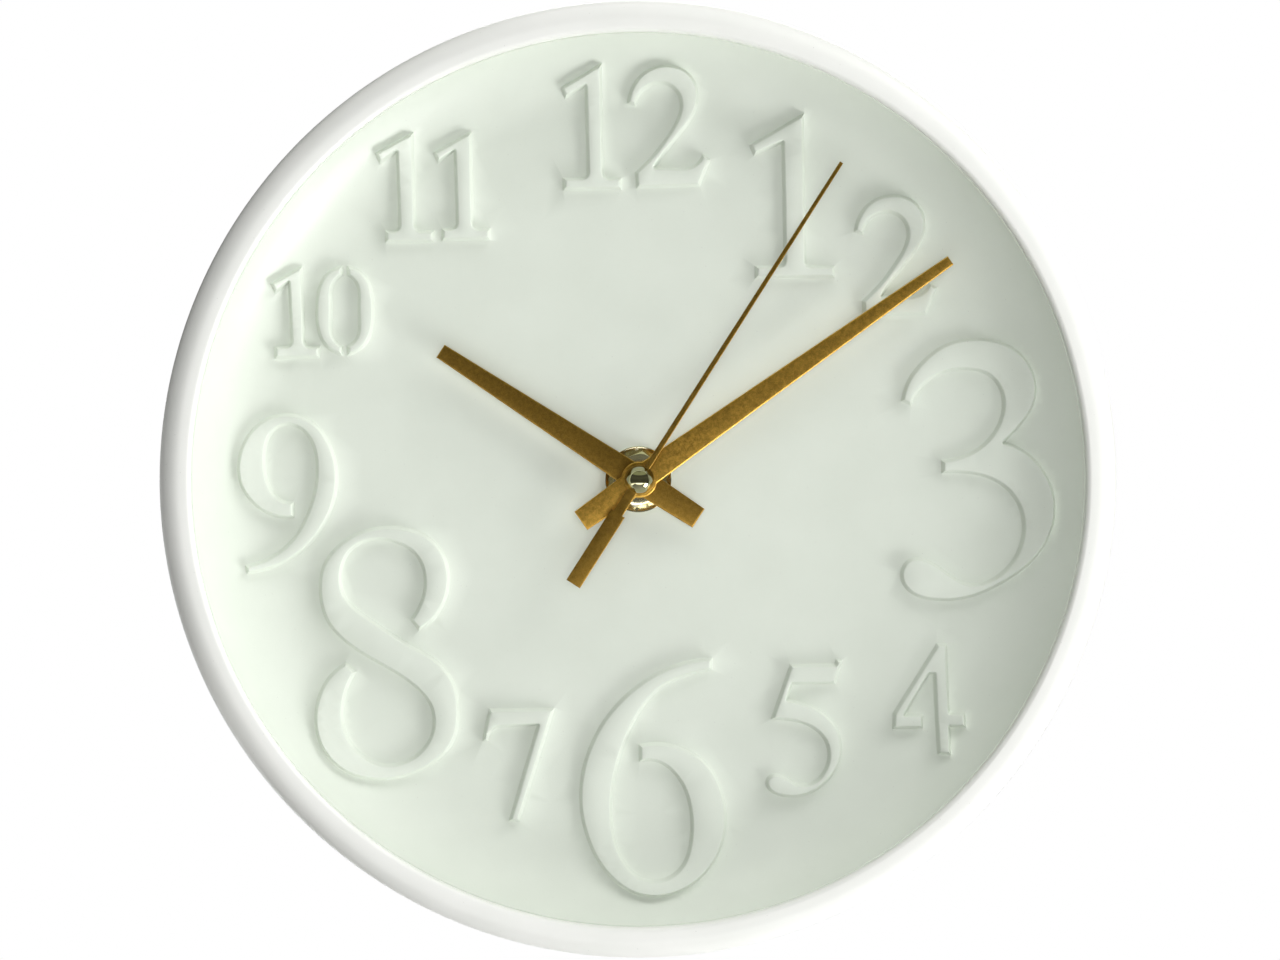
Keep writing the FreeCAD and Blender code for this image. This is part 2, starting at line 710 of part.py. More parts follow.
def back_cover():
    """The rear lid over the wheel train, with the hanger tab and the knob's recess."""
    lid = rounded_block(
        -HOUSING_HALF, HOUSING_HALF, SPLIT_Y, HOUSING_BACK, COVER_LOW, HOUSING_HALF, WALL
    )
    inside = block(
        -CAVITY_HALF, CAVITY_HALF, SPLIT_Y, COVER_INNER, COVER_LOW + WALL, CAVITY_HALF
    )
    knob_x, knob_z = minute_place()
    cup = cylinder(RECESS_RADIUS + RECESS_WALL, RECESS_FLOOR - RECESS_WALL, COVER_INNER, knob_x, knob_z)
    boss_front = COVER_INNER - BOSS_HEIGHT
    places = ((0.0, 0.0), third_place(), intermediate_place(), rotor_place())
    bosses = [cylinder(BOSS_RADIUS, boss_front, COVER_INNER, x, z) for x, z in places]
    board_left, board_right, board_low, board_high = BOARD_BOX
    half = BOARD_REST_HALF
    rests = [
        block(x - half, x + half, BOARD_BACK, COVER_INNER, board_low + half, board_high - half)
        for x in (board_left + BOARD_REST_INSET, board_right - BOARD_REST_INSET)
    ]
    cover = fused([lid.cut(inside), cup, hanger_tab()] + bosses + rests)
    cover = cover.cut(keyhole())
    cover = cover.cut(cylinder(RECESS_RADIUS, RECESS_FLOOR, HOUSING_BACK, knob_x, knob_z))
    cover = cover.cut(
        cylinder(MINUTE_ARBOR_RADIUS + RUNNING_GAP, RECESS_FLOOR - RECESS_WALL, RECESS_FLOOR, knob_x, knob_z)
    )
    for place in places:
        cover = cover.cut(pivot_hole(boss_front, PIVOT_DEPTH + PIVOT_PLAY, place))
    return cover


def train_plate():
    """The middle plate that carries the wheels, resting on the front shell's posts."""
    boxes = [slab(box, PLATE_FRONT, PLATE_BACK) for box in (PLATE_LOWER_BOX, PLATE_UPPER_BOX)]
    rotor_x, rotor_z = rotor_place()
    rest_x = rotor_x - STATOR_REST_SHIFT
    rests = [
        cylinder(STATOR_REST_RADIUS, PLATE_BACK, STATOR_FRONT, rest_x, rotor_z + side * STATOR_REST_RISE)
        for side in (-1, 1)
    ]
    plate = fused(boxes + rests)
    holes = (
        (SECONDS_ARBOR_RADIUS + RUNNING_GAP, (0.0, 0.0)),
        (ARBOR_RADIUS + RUNNING_GAP, third_place()),
        (MINUTE_ARBOR_RADIUS + RUNNING_GAP, minute_place()),
        (PIVOT_RADIUS + RUNNING_GAP, intermediate_place()),
        (PIVOT_RADIUS + RUNNING_GAP, rotor_place()),
    )
    for radius, place in holes:
        plate = plate.cut(cylinder(radius, PLATE_FRONT, PLATE_BACK, *place))
    return plate


# ---- Wheel train ----


def gear(teeth, module, tooth, level, thickness, place, phase):
    """A wheel or pinion with radial flanks and round tips. phase is the first tooth's bearing."""
    share, addendum, dedendum = tooth
    pitch = 2 * math.pi / teeth
    pitch_radius = module * teeth / 2
    root_radius = pitch_radius - dedendum * module
    tip_radius = pitch_radius + addendum * module
    half = share * pitch / 2
    front = level - thickness / 2
    edges = []
    for number in range(teeth):
        middle = phase + number * pitch

        def point(radius, angle):
            x, z = polar(radius, middle + angle)
            return on_plane(place[0] + x, place[1] + z, front)

        left_root = point(root_radius, -half)
        left = point(pitch_radius, -half)
        right = point(pitch_radius, half)
        right_root = point(root_radius, half)
        edges.append(Part.LineSegment(left_root, left).toShape())
        edges.append(Part.Arc(left, point(tip_radius, 0), right).toShape())
        edges.append(Part.LineSegment(right, right_root).toShape())
        gap_middle = point(root_radius, pitch / 2)
        edges.append(Part.Arc(right_root, gap_middle, point(root_radius, pitch - half)).toShape())
    return Part.Face(Part.Wire(edges)).extrude(Vector(0, thickness, 0))


def wheel(teeth, module, level, place, phase):
    return gear(teeth, module, WHEEL_TOOTH, level, WHEEL_THICKNESS, place, phase)


def pinion(teeth, module, level, place, phase):
    return gear(teeth, module, PINION_TOOTH, level, PINION_THICKNESS, place, phase)


def meshed(phase, teeth, other_teeth, bearing):
    """The phase of a gear that meshes with another, which lies at a bearing from the first."""
    pitch = 2 * math.pi / teeth
    other_pitch = 2 * math.pi / other_teeth
    position = ((bearing - phase) / pitch) % 1
    return bearing + math.pi - (0.5 - position) * other_pitch


def rear_pivot(place, front):
    """An arbor from a wheel back to its pivot in the back cover."""
    shoulder = COVER_INNER - BOSS_HEIGHT - PIVOT_PLAY
    tip = COVER_INNER - BOSS_HEIGHT + PIVOT_DEPTH
    return [cylinder(ARBOR_RADIUS, front, shoulder, *place), cylinder(PIVOT_RADIUS, shoulder, tip, *place)]


def front_pivot(place, back, face):
    """An arbor from a wheel forward to its pivot in a face."""
    shoulder = face + PIVOT_PLAY
    tip = face - PIVOT_DEPTH + PIVOT_PLAY
    return [cylinder(ARBOR_RADIUS, shoulder, back, *place), cylinder(PIVOT_RADIUS, tip, shoulder, *place)]


def seconds_wheel():
    wheel_part = wheel(SECONDS_TEETH, SECONDS_MODULE, SECONDS_LEVEL, (0, 0), SECONDS_PHASE)
    pinion_part = pinion(SECONDS_LEAVES, THIRD_MODULE, THIRD_LEVEL, (0, 0), SECONDS_PHASE)
    arbor = cylinder(SECONDS_ARBOR_RADIUS, SECOND_HAND_Y - SECOND_THICKNESS / 2, SECONDS_LEVEL)
    return fused([wheel_part, pinion_part, arbor] + rear_pivot((0, 0), THIRD_LEVEL))


def intermediate_wheel():
    place = intermediate_place()
    phase = meshed(SECONDS_PHASE, SECONDS_TEETH, INTERMEDIATE_LEAVES, INTERMEDIATE_BEARING)
    pinion_part = pinion(INTERMEDIATE_LEAVES, SECONDS_MODULE, SECONDS_LEVEL, place, phase)
    wheel_part = wheel(INTERMEDIATE_TEETH, ROTOR_MODULE, ROTOR_LEVEL, place, INTERMEDIATE_WHEEL_PHASE)
    front = front_pivot(place, SECONDS_LEVEL, PLATE_BACK)
    return fused([wheel_part, pinion_part] + front + rear_pivot(place, SECONDS_LEVEL))


def rotor_pinion():
    place = rotor_place()
    phase = meshed(INTERMEDIATE_WHEEL_PHASE, INTERMEDIATE_TEETH, ROTOR_TEETH, ROTOR_BEARING)
    pinion_part = pinion(ROTOR_TEETH, ROTOR_MODULE, ROTOR_LEVEL, place, phase)
    front = front_pivot(place, ROTOR_LEVEL, PLATE_BACK)
    return fused([pinion_part] + front + rear_pivot(place, ROTOR_LEVEL))


def rotor_magnet():
    return tube(MAGNET_RADIUS, ARBOR_RADIUS, MAGNET_FRONT, MAGNET_BACK, *rotor_place())


def third_wheel():
    place = third_place()
    phase = meshed(SECONDS_PHASE, SECONDS_LEAVES, THIRD_TEETH, THIRD_BEARING)
    wheel_part = wheel(THIRD_TEETH, THIRD_MODULE, THIRD_LEVEL, place, phase)
    pinion_part = pinion(THIRD_LEAVES, CENTRE_MODULE, CENTRE_LEVEL, place, THIRD_PINION_PHASE)
    front = front_pivot(place, THIRD_LEVEL, SHELL_INNER)
    return fused([wheel_part, pinion_part] + front + rear_pivot(place, THIRD_LEVEL))


def centre_wheel():
    """The minute hand's wheel, on the tube that runs inside the hour tube."""
    bearing = THIRD_BEARING + math.pi
    phase = meshed(THIRD_PINION_PHASE, THIRD_LEAVES, CENTRE_TEETH, bearing)
    wheel_part = wheel(CENTRE_TEETH, CENTRE_MODULE, CENTRE_LEVEL, (0, 0), phase)
    back = CENTRE_LEVEL + WHEEL_THICKNESS / 2
    barrel = cylinder(CENTRE_TUBE_RADIUS, MINUTE_HAND_Y + HAND_THICKNESS / 2, back)
    seat_front = MINUTE_HAND_Y - HAND_THICKNESS / 2
    seat_back = MINUTE_HAND_Y + HAND_THICKNESS / 2
    seat = double_d(seat_front, seat_back)
    bore = cylinder(CENTRE_TUBE_BORE, seat_front, back)
    return fused([wheel_part, barrel, seat]).cut(bore)


def double_d(front, back):
    """The flatted end of the centre tube, which also shapes the minute hand's hole."""
    flats = block(-CENTRE_TUBE_RADIUS, CENTRE_TUBE_RADIUS, front, back, -CENTRE_FLAT, CENTRE_FLAT)
    return cylinder(CENTRE_TUBE_RADIUS, front, back).common(flats)


def cannon_pinion():
    leaves = pinion(CANNON_LEAVES, CANNON_MODULE, MINUTE_LEVEL, (0, 0), CANNON_PHASE)
    front = MINUTE_LEVEL - PINION_THICKNESS / 2
    back = MINUTE_LEVEL + PINION_THICKNESS / 2
    return leaves.cut(cylinder(CENTRE_TUBE_RADIUS, front, back))


def minute_wheel():
    """The wheel between the cannon pinion and the hour wheel. Its arbor carries the setting knob."""
    place = minute_place()
    phase = meshed(CANNON_PHASE, CANNON_LEAVES, MINUTE_TEETH, MINUTE_BEARING)
    wheel_part = wheel(MINUTE_TEETH, CANNON_MODULE, MINUTE_LEVEL, place, phase)
    pinion_part = pinion(MINUTE_LEAVES, HOUR_MODULE, HOUR_LEVEL, place, MINUTE_PINION_PHASE)
    arbor = cylinder(MINUTE_ARBOR_RADIUS, SHELL_INNER + PIVOT_PLAY, (KNOB_FRONT + KNOB_BACK) / 2, *place)
    tip = cylinder(
        PIVOT_RADIUS, SHELL_INNER - PIVOT_DEPTH + PIVOT_PLAY, SHELL_INNER + PIVOT_PLAY, *place
    )
    return fused([wheel_part, pinion_part, arbor, tip])


def setting_knob():
    x, z = minute_place()
    knob = cylinder(KNOB_RADIUS, KNOB_FRONT, KNOB_BACK, x, z)
    for number in range(KNOB_RIBS):
        dx, dz = polar(KNOB_RADIUS, 2 * math.pi * number / KNOB_RIBS)
        knob = knob.cut(cylinder(KNOB_RIB_DEPTH, KNOB_FRONT, KNOB_BACK, x + dx, z + dz))
    return knob.cut(cylinder(MINUTE_ARBOR_RADIUS, KNOB_FRONT, (KNOB_FRONT + KNOB_BACK) / 2, x, z))


def hour_wheel():
    bearing = MINUTE_BEARING + math.pi
    phase = meshed(MINUTE_PINION_PHASE, MINUTE_LEAVES, HOUR_TEETH, bearing)
    wheel_part = wheel(HOUR_TEETH, HOUR_MODULE, HOUR_LEVEL, (0, 0), phase)
    back = HOUR_LEVEL + WHEEL_THICKNESS / 2
    seat_back = HOUR_HAND_Y + HAND_THICKNESS / 2 + BUSH_RING_HEIGHT
    seat_front = HOUR_HAND_Y - HAND_THICKNESS / 2
    barrel = cylinder(HOUR_TUBE_RADIUS, seat_back, back)
    seat = cylinder(HOUR_SEAT_RADIUS, seat_front, seat_back)
    bore = cylinder(HOUR_TUBE_BORE, seat_front, back)
    return fused([wheel_part, barrel, seat]).cut(bore)


# ---- Stepping motor and electronics ----


def stator():
    x, z = rotor_place()
    top = COIL_Z + CORE_HALF_HEIGHT
    link_low = z - LEFT_LINK_HALF_HEIGHT
    link_high = z + LEFT_LINK_HALF_HEIGHT
    boxes = (
        (*YOKE_SPAN, z - YOKE_HALF_HEIGHT, z + YOKE_HALF_HEIGHT),
        (LEFT_LEG_SPAN[0], YOKE_SPAN[0], link_low, link_high),
        (*LEFT_LEG_SPAN, link_low, top),
        (*RIGHT_LEG_SPAN, z + RIGHT_LEG_START, top),
    )
    plate = fused([slab(box, STATOR_FRONT, STATOR_BACK) for box in boxes])
    return plate.cut(cylinder(STATOR_HOLE, STATOR_FRONT, STATOR_BACK, x, z))


def coil_core():
    box = (*CORE_SPAN, COIL_Z - CORE_HALF_HEIGHT, COIL_Z + CORE_HALF_HEIGHT)
    return slab(box, STATOR_BACK, STATOR_BACK + CORE_THICKNESS)


def along_x(radius, left, right, y, z):
    return Part.makeCylinder(radius, right - left, Vector(left, y, z), Vector(1, 0, 0))


def coil_bobbin():
    barrel = along_x(BARREL_RADIUS, COIL_LEFT, COIL_RIGHT, COIL_Y, COIL_Z)
    ends = [
        along_x(BOBBIN_RADIUS, start, start + FLANGE, COIL_Y, COIL_Z)
        for start in (COIL_LEFT, COIL_RIGHT - FLANGE)
    ]
    return fused([barrel] + ends).cut(coil_core())


def coil_winding():
    left = COIL_LEFT + FLANGE
    right = COIL_RIGHT - FLANGE
    wound = along_x(COIL_RADIUS, left, right, COIL_Y, COIL_Z)
    return wound.cut(along_x(BARREL_RADIUS, left, right, COIL_Y, COIL_Z))


def circuit_board():
    return slab(BOARD_BOX, BOARD_FRONT, BOARD_BACK)


def board_middle():
    """The height of the board's middle line."""
    return (BOARD_BOX[2] + BOARD_BOX[3]) / 2


def timing_chip():
    """The chip under its round blob of resin, on the front of the board."""
    rise = CHIP_HEIGHT - CHIP_RIM
    sphere_radius = (CHIP_RADIUS**2 + rise**2) / (2 * rise)
    top = BOARD_FRONT - CHIP_HEIGHT
    z = board_middle()
    dome = Part.makeSphere(sphere_radius, Vector(CHIP_X, top + sphere_radius, z))
    return dome.common(cylinder(CHIP_RADIUS, top, BOARD_FRONT, CHIP_X, z))


def quartz_crystal():
    right = CRYSTAL_LEFT + CRYSTAL_LENGTH
    return along_x(CRYSTAL_RADIUS, CRYSTAL_LEFT, right, BOARD_FRONT - CRYSTAL_RADIUS, board_middle())


# ---- Battery ----


def battery_case():
    can = along_x(BATTERY_RADIUS, BATTERY_LEFT, BATTERY_RIGHT, BATTERY_Y, BATTERY_Z)
    return can.makeFillet(BATTERY_EDGE_RADIUS, can.Edges[0:1] + can.Edges[2:3])


def battery_cap():
    return along_x(BATTERY_TIP_RADIUS, BATTERY_RIGHT, BATTERY_TIP, BATTERY_Y, BATTERY_Z)


def leaf(points):
    """A strip with its section drawn in the plane z = 0 as (x, y) points, as wide as a contact."""
    vectors = [Vector(x, y, BATTERY_Z - CONTACT_HALF_WIDTH) for x, y in points]
    face = Part.Face(Part.makePolygon(vectors + vectors[:1]))
    return face.extrude(Vector(0, 0, 2 * CONTACT_HALF_WIDTH))


def contact_plus():
    inner = CAVITY_HALF - CONTACT_THICKNESS
    return leaf(
        [(CAVITY_HALF, CONTACT_FRONT), (CAVITY_HALF, CONTACT_BACK), (inner, CONTACT_BACK),
         (inner, CONTACT_FRONT)]
    )


def contact_minus():
    """A leaf spring: flat on the wall, with a bulge that presses on the battery."""
    wall = -CAVITY_HALF
    face = wall + CONTACT_THICKNESS
    bulge = CONTACT_BULGE
    bulge_back = bulge - CONTACT_THICKNESS
    inner_half = BULGE_HALF_WIDTH - CONTACT_THICKNESS / 2
    foot_y = BATTERY_Y - BULGE_FOOT
    return leaf(
        [(wall, CONTACT_FRONT), (wall, CONTACT_BACK), (face, CONTACT_BACK),
         (bulge, BATTERY_Y + BULGE_HALF_WIDTH), (bulge, BATTERY_Y - BULGE_HALF_WIDTH),
         (face + 2 * CONTACT_THICKNESS, foot_y), (face + CONTACT_THICKNESS, foot_y),
         (bulge_back, BATTERY_Y - inner_half), (bulge_back, BATTERY_Y + inner_half),
         (face, CONTACT_BACK - 2 * CONTACT_THICKNESS), (face, CONTACT_FRONT)]
    )


# ---- Hands ----


def at_angle(shape, degrees):
    shape.rotate(Vector(0, 0, 0), Vector(0, 1, 0), degrees)
    return shape


def tapered_hand(length, hub_half_width, tip_half_width, y):
    """A straight hand with a short tail, pointing to 12."""
    front = y - HAND_THICKNESS / 2
    back = y + HAND_THICKNESS / 2
    blade = outline(
        corners(
            (-TAIL_HALF_WIDTH, -TAIL_LENGTH), (TAIL_HALF_WIDTH, -TAIL_LENGTH), (hub_half_width, 0),
            (tip_half_width, length), (-tip_half_width, length), (-hub_half_width, 0),
        ),
        front,
        back,
    )
    return fused([blade, cylinder(HUB_RADIUS, front, back)])


def hour_hand():
    front = HOUR_HAND_Y - HAND_THICKNESS / 2
    back = HOUR_HAND_Y + HAND_THICKNESS / 2
    hand = tapered_hand(HOUR_LENGTH, HOUR_HALF_WIDTH, HOUR_TIP_HALF_WIDTH, HOUR_HAND_Y)
    return at_angle(hand.cut(cylinder(HOUR_SEAT_RADIUS, front, back)), HOUR_ANGLE)


def hour_hand_collar():
    """The pressed ring behind the hour hand that grips the hour tube."""
    front = HOUR_HAND_Y + HAND_THICKNESS / 2
    return tube(BUSH_RING_RADIUS, HOUR_SEAT_RADIUS, front, front + BUSH_RING_HEIGHT)


def minute_hand():
    front = MINUTE_HAND_Y - HAND_THICKNESS / 2
    back = MINUTE_HAND_Y + HAND_THICKNESS / 2
    hand = tapered_hand(MINUTE_LENGTH, MINUTE_HALF_WIDTH, MINUTE_TIP_HALF_WIDTH, MINUTE_HAND_Y)
    return at_angle(hand, MINUTE_ANGLE).cut(double_d(front, back))


def second_hand():
    front = SECOND_HAND_Y - SECOND_THICKNESS / 2
    back = SECOND_HAND_Y + SECOND_THICKNESS / 2
    blade = outline(
        corners(
            (-SECOND_HALF_WIDTH, 0), (-SECOND_TIP_HALF_WIDTH, SECOND_LENGTH),
            (SECOND_TIP_HALF_WIDTH, SECOND_LENGTH), (SECOND_HALF_WIDTH, 0),
        ),
        front,
        back,
    )
    neck = block(-SECOND_NECK_HALF, SECOND_NECK_HALF, front, back, -SECOND_WEIGHT_START, 0)
    weight = block(
        -SECOND_WEIGHT_HALF, SECOND_WEIGHT_HALF, front, back, -SECOND_TAIL_LENGTH, -SECOND_WEIGHT_START
    )
    hand = fused([blade, neck, weight, cylinder(SECOND_HUB_RADIUS, front, back)])
    return at_angle(hand.cut(cylinder(SECONDS_ARBOR_RADIUS, front, back)), SECOND_ANGLE)


def second_hand_socket():
    """The small tube behind the second hand that grips the seconds arbor."""
    return tube(SOCKET_RADIUS, SECONDS_ARBOR_RADIUS, SECOND_HAND_Y + SECOND_THICKNESS / 2, SOCKET_BACK)


def second_hand_cap():
    """The polished dome that covers the end of the shafts."""
    back = SECOND_HAND_Y - SECOND_THICKNESS / 2
    rim = back - CAP_EDGE
    rise = rim - CAP_FRONT
    sphere_radius = (CAP_RADIUS**2 + rise**2) / (2 * rise)
    half_angle = math.asin(CAP_RADIUS / sphere_radius) / 2
    middle = (
        sphere_radius * math.sin(half_angle),
        CAP_FRONT + sphere_radius * (1 - math.cos(half_angle)),
    )
    edges = profile_path([(0, CAP_FRONT), (0, back), (CAP_RADIUS, back), (CAP_RADIUS, rim)])
    edges.append(profile_arc((CAP_RADIUS, rim), middle, (0, CAP_FRONT)))
    return turned(edges)


NODES = {
    "case_ring": case_ring,
    "dial": dial,
    "brass_washer": brass_washer,
    "hex_nut": hex_nut,
    "rubber_washer": rubber_washer,
    "movement_front_shell": front_shell,
    "movement_back_cover": back_cover,
    "train_plate": train_plate,
    "stator": stator,
    "coil_core": coil_core,
    "coil_bobbin": coil_bobbin,
    "coil_winding": coil_winding,
    "circuit_board": circuit_board,
    "timing_chip": timing_chip,
    "quartz_crystal": quartz_crystal,
    "battery_contact_plus": contact_plus,
    "battery_contact_minus": contact_minus,
    "battery_case": battery_case,
    "battery_cap": battery_cap,
    "rotor_pinion": rotor_pinion,
    "rotor_magnet": rotor_magnet,
    "intermediate_wheel": intermediate_wheel,
    "seconds_wheel": seconds_wheel,
    "third_wheel": third_wheel,
    "centre_wheel": centre_wheel,
    "cannon_pinion": cannon_pinion,
    "minute_wheel": minute_wheel,
    "setting_knob": setting_knob,
    "hour_wheel": hour_wheel,
    "hour_hand": hour_hand,
    "hour_hand_collar": hour_hand_collar,
    "minute_hand": minute_hand,
    "second_hand": second_hand,
    "second_hand_socket": second_hand_socket,
    "second_hand_cap": second_hand_cap,
}


def main():
    os.makedirs("parts", exist_ok=True)
    for name, make in NODES.items():
        shape = make()
        shape.exportStep(f"parts/{name}.step")
        print(name, "solids", len(shape.Solids), "valid", shape.isValid(), "mm3", round(shape.Volume, 2))


main()
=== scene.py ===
import json
import math

import bmesh
import bpy
import numpy as np
from mathutils import Matrix, Vector, geometry


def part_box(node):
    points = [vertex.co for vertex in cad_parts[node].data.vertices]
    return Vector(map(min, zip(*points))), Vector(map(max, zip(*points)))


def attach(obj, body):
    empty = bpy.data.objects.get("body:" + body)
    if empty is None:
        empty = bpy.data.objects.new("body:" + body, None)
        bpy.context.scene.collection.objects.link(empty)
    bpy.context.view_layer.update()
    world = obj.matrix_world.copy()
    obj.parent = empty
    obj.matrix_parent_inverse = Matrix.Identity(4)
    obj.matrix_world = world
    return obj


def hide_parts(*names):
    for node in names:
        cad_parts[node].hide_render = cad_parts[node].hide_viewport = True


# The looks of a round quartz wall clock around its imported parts, in metres.
# +Z is up, the front faces -Y, the wall is the plane y = 0, and the hands turn about the Y axis.

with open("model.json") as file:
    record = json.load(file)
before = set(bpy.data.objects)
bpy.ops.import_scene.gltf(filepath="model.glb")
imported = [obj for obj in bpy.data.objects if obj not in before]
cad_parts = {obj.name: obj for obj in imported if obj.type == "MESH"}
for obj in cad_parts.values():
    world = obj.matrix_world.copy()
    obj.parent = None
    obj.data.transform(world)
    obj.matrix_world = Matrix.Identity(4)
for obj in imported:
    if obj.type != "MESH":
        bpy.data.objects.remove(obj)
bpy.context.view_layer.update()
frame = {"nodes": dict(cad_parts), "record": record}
bodies = frame["record"]["behaviour"]["bodies"]
body_of = {node: body for body, nodes in bodies.items() for node in nodes}
slot_of = {part["node"]: part["material_slot"] for part in frame["record"]["subparts"]}

MM = 0.001

# Dial: flat in the middle, then an arc up to its edge, with raised numbers
DIAL_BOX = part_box("dial")
RING_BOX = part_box("case_ring")
WASHER_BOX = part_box("brass_washer")
DIAL_FRONT = WASHER_BOX[1].y
DIAL_BACK = DIAL_BOX[1].y
DIAL_FLAT_RADIUS = 96 * MM
DISH_RADIUS = 24 * MM
DISH_CENTRE_Y = DIAL_FRONT - DISH_RADIUS
DISH_EDGE_RADIUS = 116.5 * MM
DIAL_HOLE_RADIUS = 4.2 * MM
FLANGE_RADIUS = DIAL_BOX[1].x
FLANGE_THICKNESS = 2 * MM
FLANGE_EDGE = 0.25 * MM
RELIEF_HEIGHT = 2.4 * MM

# How finely the dial is meshed
DIAL_SEGMENTS = 240
FIRST_FLAT_RING = 10 * MM
FLAT_RINGS = 12
ARC_RINGS = 16
FLAT_SPACING = 6 * MM  # between points on a ring of the flat
LEAST_ON_RING = 24
COUNT_STEP = 12  # a ring of the flat has a multiple of this many points
BACK_ARC_STEPS = 12
BACK_RINGS = (60 * MM, 20 * MM)
MESH_TOLERANCE = 0.0001  # of the triangulation, in millimetres
HOLE_SHARE = 0.9999  # of the hole's radius: triangles nearer the axis are left out

# Section of a raised number's wall: millimetres inside the outline, and share of the full height
RELIEF_SECTION = (
    (-0.32, 0.0), (-0.20, 0.03), (-0.08, 0.13), (0.08, 0.34), (0.24, 0.56), (0.40, 0.77),
    (0.52, 0.90), (0.64, 0.97), (0.80, 1.0),
)

# Outlines of the numbers, and how they are found on the CAD dial
OUTLINE_STEP = 0.6 * MM
CORNER_ANGLE = math.radians(25)  # a sharper turn is a corner
FAN_STEP = 18  # degrees between points round a corner's outer side
LEAST_MITRE = 0.25  # the least cosine that a mitre is divided by
KEPT_DISTANCE = 0.93  # the share of its level that a moved point must be from the outline
RELIEF_MARGIN = 0.1 * MM  # clear ground beside a number's wall
SAME_POINT = 0.002 * MM  # CAD points nearer than this are one
TOP_TOLERANCE = 0.05 * MM  # how far under the full height still counts as the top
TOP_FACING = -0.3  # the most y that a top face's normal has
TINY = 1e-9  # keeps a division from being by zero

# Case ring: quarter-round nose, rounded lip
RING_SEGMENTS = 320
NOSE_RADIUS = 5.5 * MM
LIP_RADIUS = 116.8 * MM
LIP_EDGE_RADIUS = 1.2 * MM
RING_BACK_RADIUS = 124 * MM
RING_INNER_RADIUS = 121.3 * MM
RING_BACK_EDGE = 0.4 * MM
NOSE_STEPS = 14
LIP_STEPS = 8

# Snap lugs inside the ring
LUG_COUNT = 6
LUG_WIDTH = 14 * MM
LUG_DEPTH = 2 * MM
LUG_REACH = 1.9 * MM
LUG_ROOT = 0.3 * MM  # how far the root goes into the wall
LUG_SLOPE = 0.6 * MM  # of the bevel behind the tip
LUG_TAPER = 0.5 * MM  # by which each end slants in towards the tip

# Round edges on CAD nodes, by node, in millimetres
EDGE_RADII = {
    "hour_hand_collar": 0.06,
    "hex_nut": 0.12,
    "brass_washer": 0.12,
    "movement_front_shell": 0.3,
    "movement_back_cover": 0.3,
    "setting_knob": 0.12,
    "battery_cap": 0.3,
    "battery_contact_plus": 0.06,
    "battery_contact_minus": 0.06,
    "rubber_washer": 0.2,
}

# Each hand's tone, which is painted light: a share that brightens or darkens its gold for how that hand
# catches the light. Also the radius round its front face in millimetres
HAND_PAINTED_LIGHT_AND_ROUNDS = {"hour_hand": (0.70, 0.42), "minute_hand": (1.16, 0.42), "second_hand": (0.60, 0.28)}
HAND_BACK_EDGE = 0.06 * MM
HAND_HOLE_RADIUS = 2.9 * MM

# Mesh repair and shading, with angles in degrees
FLAT_ANGLE = 0.4  # faces that differ by less become one
SHARP_ANGLE = 35
RING_SHARP_ANGLE = 32
DIAL_SHARP_ANGLE = 50
WELD_DISTANCE = 0.0005 * MM
FACE_TOLERANCE = 0.01 * MM  # how near a hand's front or back a point counts as on it

# Colours of the plastics that show, and of the hands at full tone
CASE_WHITE = (0.90, 0.905, 0.87)
CASE_SHADE = (0.87, 0.88, 0.84)
# The dial's colours are the case's white plastic made darker. That darkening is painted shade for the dial
# lying back behind the rim, and the slightly greener tint is its own
DIAL_WHITE_WITH_PAINTED_SHADE = (0.735, 0.785, 0.70)
DIAL_MOTTLE_WITH_PAINTED_SHADE = (0.705, 0.755, 0.67)
SPECK = (0.55, 0.56, 0.52)
GOLD_LIGHT = (0.72, 0.435, 0.088)
GOLD_DARK = (0.50, 0.29, 0.052)

# Share of the battery's length that its dark jacket covers, from the negative end
JACKET_SPLIT = 0.72

# Camera: a little to the left and above, and the width that the frame spans at the clock's front edge
CAMERA_AZIMUTH = math.radians(-2.0)
CAMERA_ELEVATION = math.radians(1.0)
CAMERA_DISTANCE = 1.15
FRAME_WIDTH = 0.3344
SENSOR_WIDTH = 36.0
CLIP_START = 0.05
CLIP_END = 20.0
AIM = Vector((0.0001, -0.0315, 0.0))

# Soft boxes: slant and turn in degrees, size in metres, share of white, and whether metal reflects them
LIGHT_DISTANCE = 1.6
LIGHTS = (
    ("lower_right_light", 73, -40, (0.8, 0.8), 0.76, True),
    ("upper_right_light", 72, 45, (0.8, 0.8), 0.54, False),
    ("top_light", 62, 90, (0.9, 0.8), 0.25, False),
    ("front_light", 0, 0, (0.8, 0.8), 0.40, False),
    ("low_front_light", 36, -93, (1.6, 0.45), 0.10, True),
    ("right_wrap_light", 100, 10, (0.8, 0.8), 0.10, True),
    ("top_wrap_light", 100, 90, (0.8, 0.8), 0.14, True),
    ("low_wrap_light", 100, -75, (0.8, 0.8), 0.12, True),
    ("back_light", 155, 60, (1.2, 1.0), 0.45, True),
    ("back_fill_light", 140, 200, (1.2, 1.0), 0.15, True),
)

# Room: a faint fill, and the bands that metal reflects, by the height of the direction
ROOM_TINT = (0.97, 1.0, 0.95)
ROOM_FILL = 0.03
REFLECTED_STRENGTH = 3.0
ROOM_BANDS = (
    (-1.0, (0.50, 0.50, 0.48)), (-0.93, (1.0, 1.0, 0.97)), (-0.46, (1.0, 1.0, 0.97)),
    (-0.38, (0.05, 0.05, 0.04)), (-0.10, (0.03, 0.03, 0.025)), (0.30, (0.05, 0.05, 0.04)),
    (0.62, (0.03, 0.03, 0.025)), (0.68, (0.16, 0.17, 0.12)), (0.93, (0.16, 0.17, 0.12)),
    (1.0, (0.06, 0.06, 0.05)),
)

